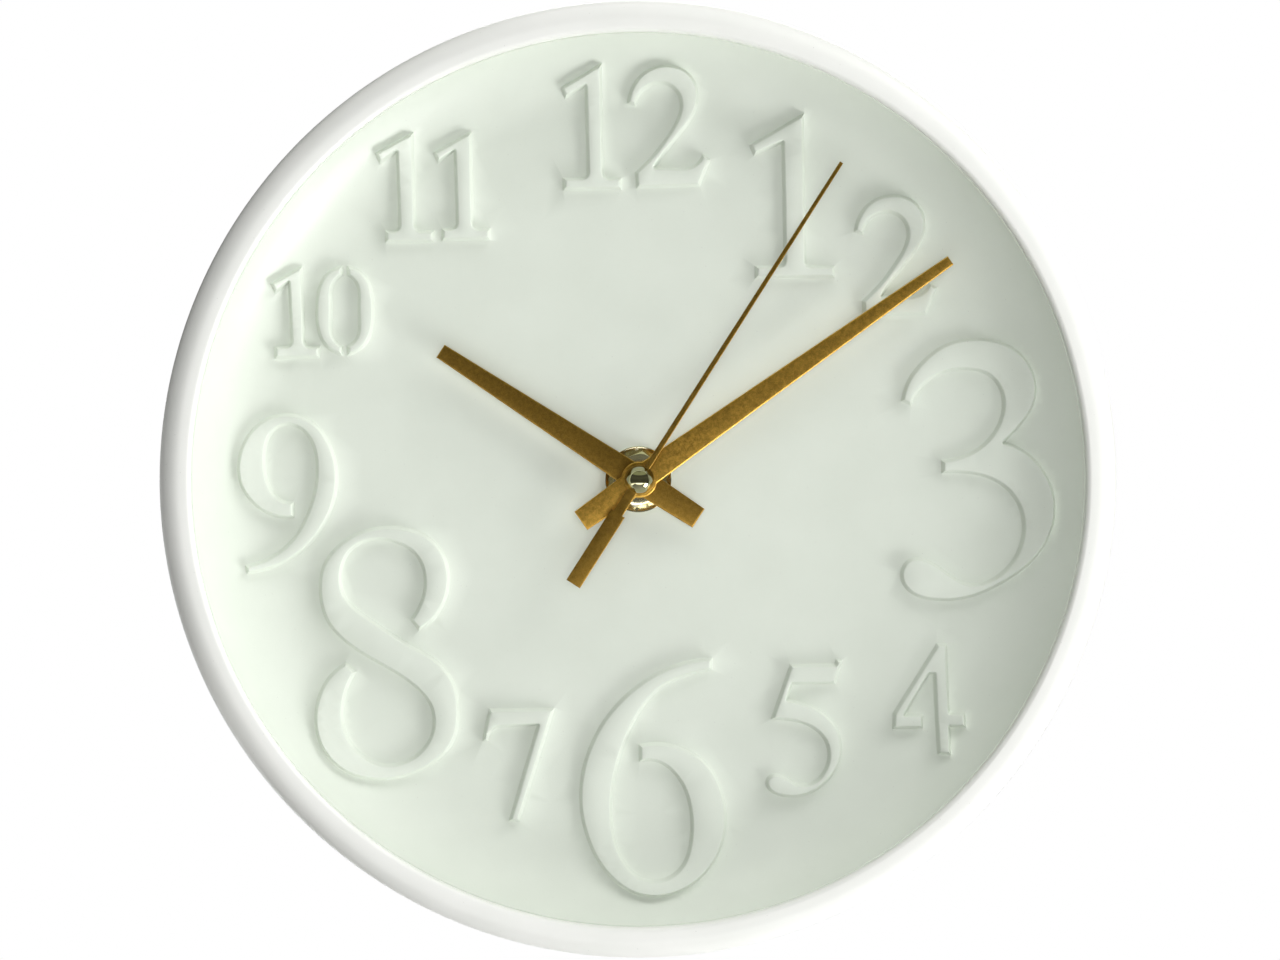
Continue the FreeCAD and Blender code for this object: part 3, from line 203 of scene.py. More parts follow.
# Floor: its height from the hands' axis, half its width, its squares along a side, and its two tones
FLOOR_HEIGHT = -1.5
FLOOR_HALF = 2.0
FLOOR_SQUARES = 4
FLOOR_LIGHT = (0.82, 0.82, 0.81)
FLOOR_DARK = (0.78, 0.78, 0.77)


# ---- Materials ----


class Shader:
    """A material's node tree with short calls for the nodes that the finishes share."""

    def __init__(self, name, roughness, metallic=0.0, **sockets):
        """A new material. Other sockets are given by name, with _ for a space."""
        self.material = bpy.data.materials.new(name)
        self.material.use_nodes = True
        self.nodes = self.material.node_tree.nodes
        self.links = self.material.node_tree.links
        self.surface = self.nodes["Principled BSDF"]
        self.surface.inputs["Roughness"].default_value = roughness
        self.surface.inputs["Metallic"].default_value = metallic
        for socket, value in sockets.items():
            self.surface.inputs[socket.replace("_", " ")].default_value = value
        self.place = self.nodes.new("ShaderNodeTexCoord").outputs["Object"]

    def stretched(self, scale):
        """The object's own coordinates, times a scale for each axis."""
        mapping = self.nodes.new("ShaderNodeMapping")
        mapping.inputs["Scale"].default_value = scale
        self.links.new(self.place, mapping.inputs["Vector"])
        return mapping.outputs["Vector"]

    def noise(self, scale, detail, vector=None):
        """Soft random values with a number of features in a metre."""
        node = self.nodes.new("ShaderNodeTexNoise")
        node.inputs["Scale"].default_value = scale
        node.inputs["Detail"].default_value = detail
        self.links.new(vector or self.place, node.inputs["Vector"])
        return node.outputs["Fac"]

    def spots(self, scale, size):
        """1 inside small scattered spots and 0 between them."""
        cells = self.nodes.new("ShaderNodeTexVoronoi")
        cells.inputs["Scale"].default_value = scale
        self.links.new(self.place, cells.inputs["Vector"])
        return self.ramp(cells.outputs["Distance"], [(0.0, 1.0), (size, 0.0)])

    def ramp(self, value, stops):
        """A value or a colour at each position, blended between them."""
        node = self.nodes.new("ShaderNodeValToRGB")
        elements = node.color_ramp.elements
        while len(elements) < len(stops):
            elements.new(0.5)
        for element, (position, colour) in zip(elements, stops):
            element.position = position
            element.color = (colour,) * 3 + (1,) if isinstance(colour, float) else (*colour, 1)
        self.links.new(value, node.inputs["Fac"])
        return node.outputs["Color"]

    def tones(self, value, dark, light):
        """One tone where a value is low, blended into another where it is high."""
        return self.ramp(value, [(0.3, dark), (0.7, light)])

    def arithmetic(self, operation, a, b):
        """Two values, each a number or a socket, put together."""
        node = self.nodes.new("ShaderNodeMath")
        node.operation = operation
        for socket, value in zip(node.inputs, (a, b)):
            if isinstance(value, float):
                socket.default_value = value
            else:
                self.links.new(value, socket)
        return node.outputs["Value"]

    def mixed(self, factor, a, b):
        """Colour a where the factor is 0 and colour b where it is 1."""
        node = self.nodes.new("ShaderNodeMix")
        node.data_type = "RGBA"
        for socket, value in zip((node.inputs["Factor"], node.inputs["A"], node.inputs["B"]), (factor, a, b)):
            if isinstance(value, tuple):
                socket.default_value = (*value, 1)
            else:
                self.links.new(value, socket)
        return node.outputs["Result"]

    def colour(self, value):
        """The surface takes this colour."""
        self.links.new(value, self.surface.inputs["Base Color"])

    def roughness(self, value, low, high):
        """The surface's roughness follows a value between two limits."""
        self.links.new(self.tones(value, low, high), self.surface.inputs["Roughness"])

    def bump(self, height, distance):
        """The surface is raised by a share of a distance, on top of any bump before."""
        node = self.nodes.new("ShaderNodeBump")
        node.inputs["Distance"].default_value = distance
        previous = self.surface.inputs["Normal"].links
        if previous:
            self.links.new(previous[0].from_socket, node.inputs["Normal"])
        self.links.new(height, node.inputs["Height"])
        self.links.new(node.outputs["Normal"], self.surface.inputs["Normal"])


def moulded_plastic(name, light, dark, roughness, grain=0.012 * MM, speck=None, **sockets):
    """Moulded plastic: a faint mottle, fine grain, slow waves in the gloss and a few specks."""
    shader = Shader(name, roughness, **sockets)
    colour = shader.tones(shader.noise(60.0, 4.0), dark, light)
    if speck:
        colour = shader.mixed(shader.spots(330.0, 0.05), colour, speck)
    shader.colour(colour)
    shader.roughness(shader.noise(35.0, 3.0), roughness - 0.04, roughness + 0.05)
    shader.bump(shader.noise(2600.0, 2.0), grain)
    shader.bump(shader.noise(90.0, 1.0), 0.03 * MM)
    return shader.material


def brushed_metal(name, light, dark, roughness):
    """Satin metal sheet: a grainy mottle, fine pits and a soft change of gloss."""
    shader = Shader(name, roughness, 1.0)
    coarse = shader.noise(1100.0, 4.0)
    fine = shader.noise(4200.0, 3.0)
    mottle = shader.arithmetic("MULTIPLY", shader.arithmetic("ADD", coarse, fine), 0.5)
    shader.colour(shader.ramp(mottle, [(0.38, dark), (0.62, light)]))
    shader.roughness(coarse, roughness - 0.06, roughness + 0.08)
    shader.bump(fine, 0.02 * MM)
    return shader.material


def hand_gold(name, tone):
    """Satin gold sheet, with a share of the full tone: painted light, brighter or darker for how each hand
    catches the light.
    """
    light = [min(1.0, tone * c) for c in GOLD_LIGHT]
    dark = [min(1.0, tone * c) for c in GOLD_DARK]
    return brushed_metal(name, light, dark, 0.42)


def polished_metal(name, light, dark, roughness, scratch=0.002 * MM):
    """Polished metal with turning marks and slight staining."""
    shader = Shader(name, roughness, 1.0)
    shader.colour(shader.ramp(shader.noise(240.0, 4.0), [(0.35, dark), (0.65, light)]))
    shader.roughness(shader.noise(500.0, 3.0), max(0.02, roughness - 0.04), roughness + 0.05)
    shader.bump(shader.noise(1400.0, 4.0), scratch)
    return shader.material


def wound_copper():
    """Enamelled wire, with one turn beside the other along X."""
    shader = Shader("copper_wire", 0.32, 0.85, Coat_Weight=0.5, Coat_Roughness=0.2)
    shader.colour(shader.tones(shader.noise(700.0, 3.0), (0.36, 0.12, 0.04), (0.62, 0.25, 0.09)))
    waves = shader.nodes.new("ShaderNodeTexWave")
    waves.bands_direction = "X"
    waves.inputs["Scale"].default_value = 900.0
    waves.inputs["Distortion"].default_value = 0.6
    shader.links.new(shader.place, waves.inputs["Vector"])
    shader.bump(waves.outputs["Fac"], 0.08 * MM)
    return shader.material


def battery_jacket():
    """A printed metal jacket: dark along most of the can, and copper-coloured at its positive end."""
    shader = Shader("battery_jacket", 0.28, 0.6, Coat_Weight=0.6, Coat_Roughness=0.12)
    low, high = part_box("battery_case")
    split = low.x + JACKET_SPLIT * (high.x - low.x)
    separate = shader.nodes.new("ShaderNodeSeparateXYZ")
    shader.links.new(shader.place, separate.inputs["Vector"])
    band = shader.arithmetic("GREATER_THAN", separate.outputs["X"], split)
    grain = shader.noise(900.0, 3.0)
    body = shader.tones(grain, (0.016, 0.016, 0.018), (0.032, 0.032, 0.036))
    end = shader.tones(grain, (0.42, 0.19, 0.07), (0.56, 0.27, 0.10))
    shader.colour(shader.mixed(band, body, end))
    shader.roughness(shader.noise(80.0, 3.0), 0.22, 0.36)
    shader.bump(shader.noise(1500.0, 2.0), 0.005 * MM)
    return shader.material


def fibre_board():
    """Glass-fibre board with a woven ground under green varnish."""
    shader = Shader("board", 0.4, Coat_Weight=0.4, Coat_Roughness=0.15)
    weave = shader.noise(1500.0, 2.0, shader.stretched((1.0, 1.0, 0.25)))
    shader.colour(shader.tones(weave, (0.012, 0.075, 0.03), (0.03, 0.15, 0.055)))
    shader.bump(weave, 0.02 * MM)
    return shader.material


def make_materials():
    """One finish for each material slot of the record."""
    return {
        "case_plastic": moulded_plastic("case_plastic", CASE_WHITE, CASE_SHADE, 0.34, speck=SPECK),
        "dial_plastic": moulded_plastic("dial_plastic", DIAL_WHITE_WITH_PAINTED_SHADE, DIAL_MOTTLE_WITH_PAINTED_SHADE, 0.4, speck=SPECK),
        "housing_plastic": moulded_plastic(
            "housing_plastic", (0.022, 0.022, 0.024), (0.014, 0.014, 0.016), 0.46, 0.05 * MM
        ),
        "plate_plastic": moulded_plastic("plate_plastic", (0.62, 0.61, 0.56), (0.56, 0.55, 0.50), 0.4),
        "gear_plastic": moulded_plastic(
            "gear_plastic", (0.78, 0.76, 0.68), (0.70, 0.68, 0.60), 0.35,
            Subsurface_Weight=0.15, Subsurface_Scale=2 * MM,
        ),
        "bobbin_plastic": moulded_plastic("bobbin_plastic", (0.72, 0.71, 0.66), (0.64, 0.63, 0.58), 0.4),
        "knob_plastic": moulded_plastic(
            "knob_plastic", (0.30, 0.30, 0.31), (0.24, 0.24, 0.25), 0.42, 0.04 * MM
        ),
        "rubber": moulded_plastic("rubber", (0.020, 0.019, 0.019), (0.012, 0.012, 0.012), 0.75, 0.06 * MM),
        "resin": moulded_plastic(
            "resin", (0.012, 0.012, 0.013), (0.008, 0.008, 0.009), 0.22, Coat_Weight=0.5
        ),
        "magnet": moulded_plastic("magnet", (0.055, 0.052, 0.052), (0.035, 0.034, 0.034), 0.55, 0.05 * MM),
        "brass": polished_metal("brass", (0.98, 0.93, 0.68), (0.93, 0.85, 0.56), 0.16, 0.0008 * MM),
        # Polished gold darkened to a dim olive: painted shade for the dark surroundings that the dome
        # reflects
        "polished_gold": polished_metal("polished_gold", (0.42, 0.40, 0.25), (0.36, 0.34, 0.20), 0.06),
        "battery_steel": polished_metal("battery_steel", (0.70, 0.70, 0.70), (0.60, 0.60, 0.61), 0.22),
        "crystal_can": polished_metal("crystal_can", (0.74, 0.74, 0.75), (0.66, 0.66, 0.67), 0.16),
        "contact_spring": polished_metal("contact_spring", (0.68, 0.66, 0.60), (0.58, 0.56, 0.52), 0.28),
        "steel_sheet": brushed_metal("steel_sheet", (0.50, 0.50, 0.51), (0.38, 0.38, 0.39), 0.42),
        "gold_aluminium": hand_gold("gold_aluminium", 1.0),
        "copper_wire": wound_copper(),
        "battery_jacket": battery_jacket(),
        "board": fibre_board(),
    }


# ---- Mesh helpers ----


def new_object(name, bm, material):
    """A shaded object from mesh data that is already in its place."""
    mesh = bpy.data.meshes.new(name)
    bm.to_mesh(mesh)
    bm.free()
    piece = bpy.data.objects.new(name, mesh)
    bpy.context.scene.collection.objects.link(piece)
    mesh.materials.append(material)
    return piece


def stand_for(piece, node):
    """The piece takes a CAD node's place and body."""
    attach(piece, body_of[node])
    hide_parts(node)
    return piece


def smooth_by_angle(piece, degrees):
    """Smooth shading, with edges sharper than an angle kept sharp."""
    mesh = piece.data
    mesh.shade_smooth()
    bm = bmesh.new()
    bm.from_mesh(mesh)
    limit = math.radians(degrees)
    for edge in bm.edges:
        edge.smooth = len(edge.link_faces) == 2 and edge.calc_face_angle(0.0) < limit
    bm.to_mesh(mesh)
    bm.free()


def welded(node):
    """A CAD node's surface as one connected mesh, with its flat faces whole."""
    bm = bmesh.new()
    source = frame["nodes"][node].data
    points = [bm.verts.new(vertex.co) for vertex in source.vertices]
    for polygon in source.polygons:
        corners = [points[i] for i in polygon.vertices]
        if bm.faces.get(corners) is None:
            bm.faces.new(corners)
    bmesh.ops.remove_doubles(bm, verts=bm.verts, dist=WELD_DISTANCE)
    bmesh.ops.dissolve_limit(bm, angle_limit=math.radians(FLAT_ANGLE), verts=bm.verts, edges=bm.edges)
    return bm


def sharp_edges(bm):
    """The edges where two faces meet at more than the sharp angle."""
    limit = math.radians(SHARP_ANGLE)
    return [e for e in bm.edges if len(e.link_faces) == 2 and e.calc_face_angle(0.0) > limit]


def rounded(bm, edges, radius, segments, clamp):
    """Rounds some edges. With clamp the radius shrinks where there is no room for it."""
    bmesh.ops.bevel(
        bm, geom=edges, offset=radius, segments=segments, profile=0.5, affect="EDGES", clamp_overlap=clamp
    )


def finished(node, bm, material):
    """The rounded mesh as the piece that stands for its CAD node."""
    bmesh.ops.triangulate(bm, faces=[f for f in bm.faces if len(f.verts) > 4])
    piece = stand_for(new_object(f"{node}_finished", bm, material), node)
    smooth_by_angle(piece, SHARP_ANGLE)


def softened(node, material, radius):
    """A CAD node rebuilt with its sharp edges rounded."""
    bm = welded(node)
    rounded(bm, sharp_edges(bm), radius, 3, clamp=True)
    finished(node, bm, material)


def hand(node, material, front_radius):
    """A hand rebuilt with a wide round along its front face, outside its hole, and a small one behind."""
    bm = welded(node)
    front = min(v.co.y for v in bm.verts) + FACE_TOLERANCE
    around = [
        e for e in sharp_edges(bm)
        if all(v.co.y < front and math.hypot(v.co.x, v.co.z) > HAND_HOLE_RADIUS for v in e.verts)
    ]
    rounded(bm, around, front_radius, 4, clamp=False)
    back = max(v.co.y for v in bm.verts) - FACE_TOLERANCE
    behind = [e for e in sharp_edges(bm) if all(v.co.y > back for v in e.verts)]
    rounded(bm, behind, HAND_BACK_EDGE, 2, clamp=False)
    finished(node, bm, material)


def arc_points(centre, radius, start, end, steps):
    """Points on an arc. The angle runs from the first axis to the second, in degrees."""
    angles = np.radians(np.linspace(start, end, steps + 1))
    return [(centre[0] + radius * math.cos(a), centre[1] + radius * math.sin(a)) for a in angles]


def turn_point(radius, y, angle):
    """A point at a radius and a clock angle about the Y axis."""
    return Vector((radius * math.sin(angle), y, radius * math.cos(angle)))


def lathe(bm, section, segments, closed):
    """Turns a (radius, y) section about the Y axis. Returns its rings of vertices."""
    rings = [
        [bm.verts.new(turn_point(radius, y, 2 * math.pi * i / segments)) for i in range(segments)]
        for radius, y in section
    ]
    pairs = list(zip(rings, rings[1:]))
    if closed:
        pairs.append((rings[-1], rings[0]))
    for ring, following in pairs:
        join_rings(bm, ring, following)
    return rings


def join_rings(bm, ring, following):
    """A band of faces between two closed rings with the same number of points."""
    count = len(ring)
    for i in range(count):
        j = (i + 1) % count
        bm.faces.new((ring[i], ring[j], following[j], following[i]))


# ---- Case ring ----


def dish_y(radius):
    """The height of the dial's front at a radius, before the numbers."""
    past = max(0.0, radius - DIAL_FLAT_RADIUS)
    return DISH_CENTRE_Y + math.sqrt(DISH_RADIUS**2 - past**2)


def case_ring(material):
    """The case ring with its snap lugs, turned from its section."""
    flange_front = dish_y(DISH_EDGE_RADIUS)
    outer = RING_BOX[1].x
    front = RING_BOX[0].y
    nose = (outer - NOSE_RADIUS, front + NOSE_RADIUS)
    lip = (LIP_RADIUS + LIP_EDGE_RADIUS, front + LIP_EDGE_RADIUS)
    section = [
        (RING_INNER_RADIUS, flange_front),
        (RING_INNER_RADIUS, -RING_BACK_EDGE),
        (RING_INNER_RADIUS + RING_BACK_EDGE, 0.0),
        (RING_BACK_RADIUS - RING_BACK_EDGE, 0.0),
        (RING_BACK_RADIUS, -RING_BACK_EDGE),
        (RING_BACK_RADIUS + 0.5 * (outer - RING_BACK_RADIUS), front / 2),
        *arc_points(nose, NOSE_RADIUS, 0, -90, NOSE_STEPS),
        *arc_points(lip, LIP_EDGE_RADIUS, -90, -180, LIP_STEPS),
        (LIP_RADIUS, flange_front),
    ]
    bm = bmesh.new()
    lathe(bm, section, RING_SEGMENTS, closed=True)
    for number in range(LUG_COUNT):
        snap_lug(bm, 2 * math.pi * (number + 0.5) / LUG_COUNT, flange_front + FLANGE_THICKNESS)
    bmesh.ops.recalc_face_normals(bm, faces=bm.faces)
    piece = stand_for(new_object("case_ring_moulding", bm, material), "case_ring")
    smooth_by_angle(piece, RING_SHARP_ANGLE)


def snap_lug(bm, angle, front):
    """A lug with a sloped back and chamfered ends on the ring's inner wall."""
    root = RING_INNER_RADIUS + LUG_ROOT
    tip = RING_INNER_RADIUS - LUG_REACH
    back = front + LUG_DEPTH
    section = [(root, front), (tip, front), (tip, back - LUG_SLOPE), (tip + LUG_SLOPE, back), (root, back)]
    half = LUG_WIDTH / 2
    turn = Matrix.Rotation(angle, 3, "Y")
    ends = []
    for side in (-1, 1):
        corners = [Vector((side * (half - (root - r) / LUG_REACH * LUG_TAPER), y, r)) for r, y in section]
        ends.append([bm.verts.new(turn @ corner) for corner in corners])
    join_rings(bm, *ends)
    bm.faces.new(ends[0])
    bm.faces.new(ends[1][::-1])


# ---- Dial ----


def relief_loops():
    """The outlines of the raised numbers, in the plane of x and z, from the top faces of the CAD dial."""
    mesh = frame["nodes"]["dial"].data
    points = np.array([v.co for v in mesh.vertices])
    keys = [tuple(key) for key in np.round(points / SAME_POINT).astype(int)]
    radius = np.hypot(points[:, 0], points[:, 2])
    past = np.maximum(0.0, radius - DIAL_FLAT_RADIUS)
    height = DISH_RADIUS - np.hypot(past, points[:, 1] - DISH_CENTRE_Y)
    on_top = (height > RELIEF_HEIGHT - TOP_TOLERANCE) & (points[:, 1] < DIAL_FRONT)
    place = {}
    edges = {}
    for polygon in mesh.polygons:
        corners = list(polygon.vertices)
        if not all(on_top[i] for i in corners) or polygon.normal.y > TOP_FACING:
            continue
        for a, b in zip(corners, corners[1:] + corners[:1]):
            start, end = keys[a], keys[b]
            place[start] = points[a][[0, 2]]
            if edges.get(end) and start in edges[end]:
                edges[end].remove(start)
            else:
                edges.setdefault(start, []).append(end)
    loops = []
    starts = sorted(key for key, ends in edges.items() if ends)
    for start in starts:
        if not edges.get(start):
            continue
        loop = []
        key = start
        while edges.get(key):
            loop.append(place[key])
            key = edges[key].pop()
        loops.append(np.array(loop))
    return loops


def turned_area(loop):
    """Twice the signed area of a closed outline."""
    after = np.roll(loop, -1, axis=0)
    return float(np.sum(loop[:, 0] * after[:, 1] - after[:, 0] * loop[:, 1]))


def corner_turns(loop):
    """How far the outline turns at each point, in radians."""
    before = loop - np.roll(loop, 1, axis=0)
    after = np.roll(loop, -1, axis=0) - loop
    cross = before[:, 0] * after[:, 1] - before[:, 1] * after[:, 0]
    return np.arctan2(cross, (before * after).sum(1))


def resampled(loop):
    """The outline with even steps. Corners stay, and gentle turns become a smooth curve."""
    count = len(loop)
    sharp = np.abs(corner_turns(loop)) > CORNER_ANGLE
    points = []
    corner = []
    for i in range(count):
        start, end = loop[i], loop[(i + 1) % count]
        length = float(np.hypot(*(end - start)))
        before = start - (end - start) if sharp[i] else loop[i - 1]
        following = end + (end - start) if sharp[(i + 1) % count] else loop[(i + 2) % count]
        steps = max(1, round(length / OUTLINE_STEP))
        for step in range(steps):
            points.append(hermite(before, start, end, following, step / steps))
            corner.append(bool(sharp[i]) and step == 0)
    return np.array(points), np.array(corner)


def hermite(before, start, end, following, t):
    """A point on the smooth curve from start to end, with tangents from the points next to them."""
    length = np.hypot(*(end - start))
    start_tangent = length * (end - before) / (np.hypot(*(start - before)) + length)
    end_tangent = length * (following - start) / (np.hypot(*(following - end)) + length)
    return (
        (2 * t**3 - 3 * t**2 + 1) * start + (t**3 - 2 * t**2 + t) * start_tangent
        + (3 * t**2 - 2 * t**3) * end + (t**3 - t**2) * end_tangent
    )


def distance_to(points, loop):
    """Each point's distance to a closed outline, and whether it lies inside."""
    start = loop
    span = np.roll(loop, -1, axis=0) - loop
    offset = points[:, None, :] - start[None, :, :]
    share = np.clip((offset * span).sum(2) / (span**2).sum(1), 0, 1)
    distance = np.hypot(*np.moveaxis(offset - share[:, :, None] * span, 2, 0)).min(1)
    above = start[:, 1][None, :] > points[:, 1][:, None]
    end = np.roll(loop, -1, axis=0)
    crosses = above != np.roll(above, -1, axis=1)
    rise = np.where(span[:, 1] == 0, TINY, span[:, 1])
    at_x = start[:, 0] + (points[:, 1][:, None] - start[:, 1]) / rise * (end[:, 0] - start[:, 0])
    inside = (crosses & (points[:, 0][:, None] < at_x)).sum(1) % 2 == 1
    return distance, inside


def offset_points(points, corner, level):
    """The outline's points moved inward by a level, or outward if it is negative.

    A corner is mitred on its inner side, and becomes a fan of points on its outer side.
    """
    before = points - np.roll(points, 1, axis=0)
    after = np.roll(points, -1, axis=0) - points
    before /= np.hypot(*before.T)[:, None]
    after /= np.hypot(*after.T)[:, None]
    turns = corner_turns(points)
    moved = []
    for point, arriving, leaving, is_corner, turn in zip(points, before, after, corner, turns):
        inward = [np.array((-d[1], d[0])) for d in (arriving, leaving)]
        middle = inward[0] + inward[1]
        middle /= np.hypot(*middle)
        if not is_corner:
            moved.append(point + level * middle)
        elif level * turn > 0:
            moved.append(point + level / max(LEAST_MITRE, math.cos(turn / 2)) * middle)
        else:
            steps = max(2, math.ceil(abs(math.degrees(turn)) / FAN_STEP))
            for step in range(steps + 1):
                mixed = inward[0] * (1 - step / steps) + inward[1] * (step / steps)
                moved.append(point + level * mixed / max(TINY, np.hypot(*mixed)))
    return np.array(moved)


def relief_share(distance):
    """The share of a number's full height at a distance inside its outline."""
    levels, shares = zip(*RELIEF_SECTION)
    return np.interp(distance, np.array(levels) * MM, shares)


def relief_points(loops):
    """Points along each number's wall, as (x, z) with their height share."""
    places = []
    shares = []
    for points, corner in loops:
        for level, _ in RELIEF_SECTION:
            moved = offset_points(points, corner, level * MM)
            distance, inside = distance_to(moved, points)
            kept = (distance > abs(level) * MM * KEPT_DISTANCE) & (inside == (level > 0))
            places.append(moved[kept])
            shares.append(relief_share(np.where(inside, distance, -distance))[kept])
    return np.concatenate(places), np.concatenate(shares)


def ground_points():
    """Rings of points over the dial's front, close together where it curves."""
    radii = [
        DIAL_HOLE_RADIUS,
        *np.linspace(FIRST_FLAT_RING, DIAL_FLAT_RADIUS, FLAT_RINGS),
        *np.linspace(DIAL_FLAT_RADIUS, DISH_EDGE_RADIUS, ARC_RINGS + 1)[1:],
    ]
    points = []
    for radius in radii:
        if radius == DIAL_HOLE_RADIUS or radius > DIAL_FLAT_RADIUS:
            count = DIAL_SEGMENTS
        else:
            steps = round(radius * 2 * math.pi / (COUNT_STEP * FLAT_SPACING))
            count = max(LEAST_ON_RING, COUNT_STEP * steps)
        angles = 2 * math.pi * np.arange(count) / count
        points.append(np.stack((radius * np.sin(angles), radius * np.cos(angles)), 1))
    return points


def dial_places(loops):
    """Every (x, z) point of the dial's front, with the number's height share there."""
    rings = ground_points()
    wall, wall_share = relief_points(loops)
    ground = np.concatenate(rings[1:-1])
    clear = np.ones(len(ground), bool)
    share = np.zeros(len(ground))
    outer = max(level for level, _ in RELIEF_SECTION) * MM + RELIEF_MARGIN
    for points, _ in loops:
        low, high = points.min(0) - 2 * outer, points.max(0) + 2 * outer
        near = np.flatnonzero(((ground > low) & (ground < high)).all(1))
        if len(near):
            distance, inside = distance_to(ground[near], points)
            clear[near[distance < outer]] = False
            share[near[inside]] = 1.0
    places = np.concatenate((rings[0], rings[-1], wall, ground[clear]))
    shares = np.concatenate((np.zeros(len(rings[0]) + len(rings[-1])), wall_share, share[clear]))
    return places, shares


def raised(place, share):
    """The point of the dial's front over (x, z), with the number's height measured square to the dish."""
    radius = float(np.hypot(*place))
    past = max(0.0, radius - DIAL_FLAT_RADIUS)
    arc = DISH_RADIUS - share * RELIEF_HEIGHT
    return Vector((place[0], DISH_CENTRE_Y + math.sqrt(arc**2 - past**2), place[1]))


def dial(material):
    """The dial in one closed mesh: its front with the raised numbers, its flange and its back."""
    loops = []
    for loop in relief_loops():
        loops.append(resampled(loop if turned_area(loop) > 0 else loop[::-1]))
    places, shares = dial_places(loops)
    flat = [Vector((x / MM, z / MM)) for x, z in places]
    vertices, _, triangles, origins, _, _ = geometry.delaunay_2d_cdt(flat, [], [], 0, MESH_TOLERANCE)
    bm = bmesh.new()
    verts = [bm.verts.new(raised(places[source[0]], shares[source[0]])) for source in origins]
    hole = DIAL_HOLE_RADIUS * HOLE_SHARE
    for triangle in triangles:
        middle = sum((vertices[i] for i in triangle), Vector((0, 0))) / 3
        if middle.length * MM > hole:
            bm.faces.new([verts[i] for i in triangle])
    first_of = {source[0]: vert for source, vert in zip(origins, verts)}
    inner = [first_of[i] for i in range(DIAL_SEGMENTS)]
    edge = [first_of[i + DIAL_SEGMENTS] for i in range(DIAL_SEGMENTS)]
    rings = lathe(bm, dial_back_section(), DIAL_SEGMENTS, closed=False)
    join_rings(bm, edge, rings[0])
    join_rings(bm, rings[-1], inner)
    bmesh.ops.recalc_face_normals(bm, faces=bm.faces)
    piece = stand_for(new_object("dial_moulding", bm, material), "dial")
    smooth_by_angle(piece, DIAL_SHARP_ANGLE)


def dial_back_section():
    """The dial's section from its front edge over the flange and across the back to the hole."""
    flange_front = dish_y(DISH_EDGE_RADIUS)
    flange_back = flange_front + FLANGE_THICKNESS
    back_radius = DISH_RADIUS + (DIAL_BACK - DIAL_FRONT)
    end = math.degrees(math.acos((flange_back - DISH_CENTRE_Y) / back_radius))
    back = arc_points((DIAL_FLAT_RADIUS, DISH_CENTRE_Y), back_radius, 90 - end, 90, BACK_ARC_STEPS)
    return [
        (FLANGE_RADIUS - FLANGE_EDGE, flange_front),
        (FLANGE_RADIUS, flange_front + FLANGE_EDGE),
        (FLANGE_RADIUS, flange_back - FLANGE_EDGE),
        (FLANGE_RADIUS - FLANGE_EDGE, flange_back),
        *back,
        *((radius, DIAL_BACK) for radius in (*BACK_RINGS, DIAL_HOLE_RADIUS)),
    ]


# ---- Stage ----


def area_light(name, slant, turn, size, share, glossy):
    """A soft box that faces the clock: slant is its angle off the clock's axis, turn its angle from +X up.

    The share is how bright it alone makes a white surface square to it.
    """
    slant, turn = math.radians(slant), math.radians(turn)
    direction = Vector((math.sin(slant) * math.cos(turn), -math.cos(slant), math.sin(slant) * math.sin(turn)))
    data = bpy.data.lights.new(name, "AREA")
    data.shape = "RECTANGLE"
    data.size, data.size_y = size
    data.energy = share * (math.pi * LIGHT_DISTANCE) ** 2
    light = bpy.data.objects.new(name, data)
    bpy.context.scene.collection.objects.link(light)
    light.location = AIM + direction * LIGHT_DISTANCE
    light.rotation_euler = (-direction).to_track_quat("-Z", "Y").to_euler()
    light.visible_camera = False
    light.visible_glossy = glossy


def studio():
    """Soft boxes from the right, above and in front, weak ones that wrap round the rim, and the room."""
    for light in LIGHTS:
        area_light(*light)
    room()


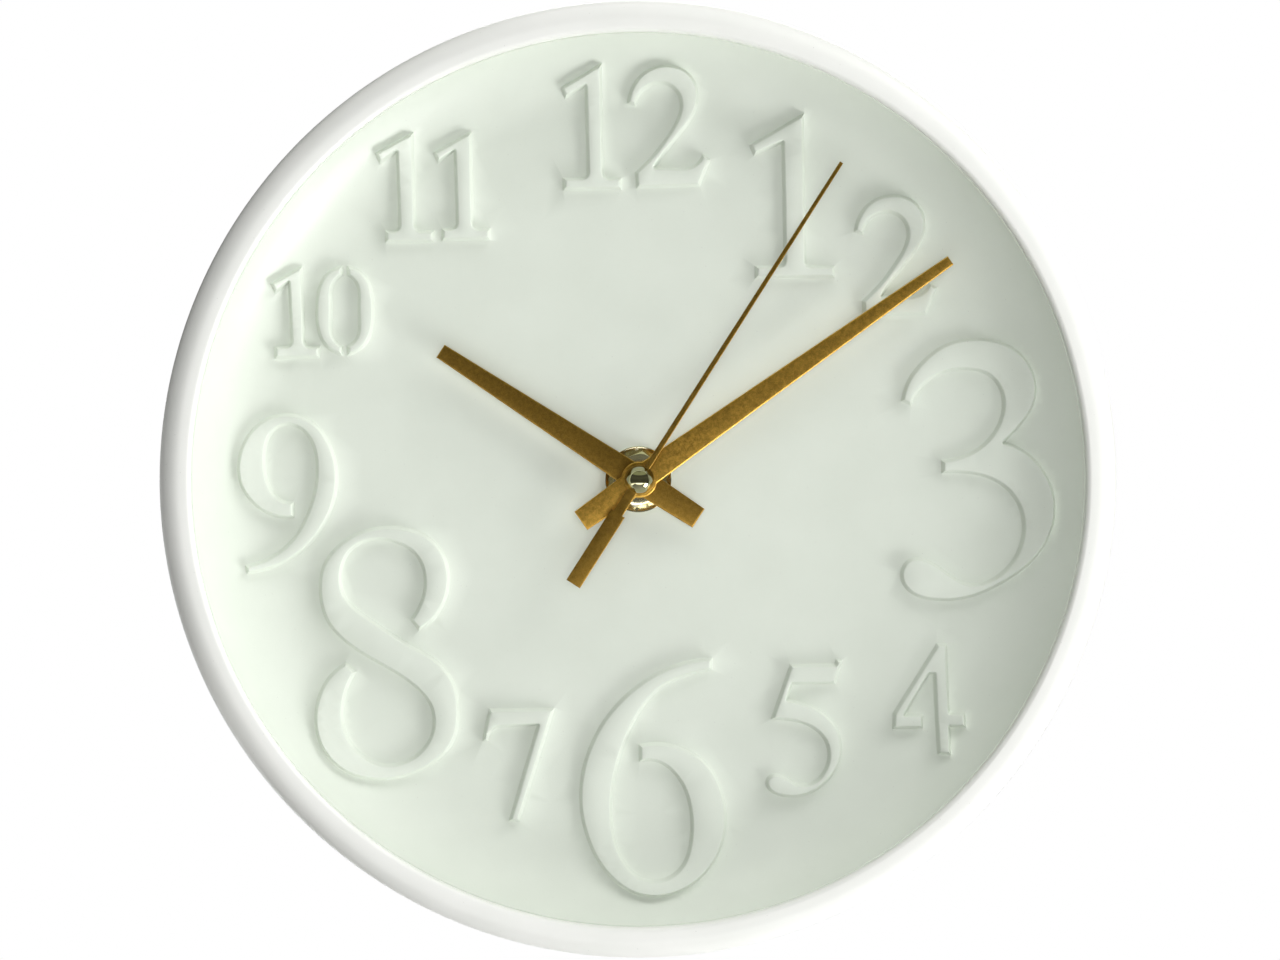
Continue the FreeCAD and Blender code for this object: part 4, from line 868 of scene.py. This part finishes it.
def room():
    """The room: faint fill, a white backdrop for the camera, and the bands that metal reflects."""
    world = bpy.data.worlds.new("studio")
    bpy.context.scene.world = world
    world.use_nodes = True
    nodes, links = world.node_tree.nodes, world.node_tree.links
    path = nodes.new("ShaderNodeLightPath")
    direction = nodes.new("ShaderNodeSeparateXYZ")
    links.new(nodes.new("ShaderNodeTexCoord").outputs["Generated"], direction.inputs["Vector"])
    height = nodes.new("ShaderNodeMapRange")
    height.inputs["From Min"].default_value = -1.0
    links.new(direction.outputs["Z"], height.inputs["Value"])
    bands = nodes.new("ShaderNodeValToRGB")
    elements = bands.color_ramp.elements
    while len(elements) < len(ROOM_BANDS):
        elements.new(0.5)
    for element, (position, colour) in zip(elements, ROOM_BANDS):
        element.position = (position + 1) / 2
        element.color = (*colour, 1)
    links.new(height.outputs["Result"], bands.inputs["Fac"])
    fill = nodes["Background"]
    fill.inputs["Color"].default_value = (*ROOM_TINT, 1)
    fill.inputs["Strength"].default_value = ROOM_FILL
    shown = {"fill": fill}
    for name, strength in (("reflected", REFLECTED_STRENGTH), ("backdrop", 1.0)):
        shown[name] = nodes.new("ShaderNodeBackground")
        shown[name].inputs["Color"].default_value = (1, 1, 1, 1)
        shown[name].inputs["Strength"].default_value = strength
    links.new(bands.outputs["Color"], shown["reflected"].inputs["Color"])
    surface = fill.outputs["Background"]
    for ray, name in (("Is Glossy Ray", "reflected"), ("Is Camera Ray", "backdrop")):
        mix = nodes.new("ShaderNodeMixShader")
        links.new(path.outputs[ray], mix.inputs["Fac"])
        links.new(surface, mix.inputs[1])
        links.new(shown[name].outputs["Background"], mix.inputs[2])
        surface = mix.outputs["Shader"]
    links.new(surface, nodes["World Output"].inputs["Surface"])


def floor():
    """A pale floor, as far below the clock as it hangs on a wall."""
    bm = bmesh.new()
    place = Matrix.Translation((0, 0, FLOOR_HEIGHT))
    bmesh.ops.create_grid(
        bm, x_segments=FLOOR_SQUARES, y_segments=FLOOR_SQUARES, size=FLOOR_HALF, matrix=place
    )
    shader = Shader("floor", 0.6)
    shader.colour(shader.tones(shader.noise(3.0, 3.0), FLOOR_DARK, FLOOR_LIGHT))
    piece = new_object("floor", bm, shader.material)


def camera():
    """The camera, aimed at the middle of the clock's front."""
    data = bpy.data.cameras.new("camera")
    data.sensor_width = SENSOR_WIDTH
    data.lens = SENSOR_WIDTH * CAMERA_DISTANCE / FRAME_WIDTH
    data.clip_start = CLIP_START
    data.clip_end = CLIP_END
    holder = bpy.data.objects.new("camera", data)
    bpy.context.scene.collection.objects.link(holder)
    back = Vector((
        math.sin(CAMERA_AZIMUTH) * math.cos(CAMERA_ELEVATION),
        -math.cos(CAMERA_AZIMUTH) * math.cos(CAMERA_ELEVATION),
        math.sin(CAMERA_ELEVATION),
    ))
    holder.location = AIM + back * CAMERA_DISTANCE
    holder.rotation_euler = (-back).to_track_quat("-Z", "Y").to_euler()
    bpy.context.scene.camera = holder


# ---- The clock ----


def build():
    """The stage, the mouldings and rounded pieces, and a finish for every CAD node."""
    materials = make_materials()
    camera()
    studio()
    floor()
    case_ring(materials["case_plastic"])
    dial(materials["dial_plastic"])
    # Each hand gets its own gold, brightened or darkened by painted light for how it catches the light
    for node, (tone, radius) in HAND_PAINTED_LIGHT_AND_ROUNDS.items():
        hand(node, hand_gold(f"{node}_gold", tone), radius * MM)
    for node, radius in EDGE_RADII.items():
        softened(node, materials[slot_of[node]], radius * MM)
    for node, piece in frame["nodes"].items():
        piece.data.materials.clear()
        piece.data.materials.append(materials[slot_of[node]])
    bpy.context.scene.view_settings.view_transform = "Standard"


build()
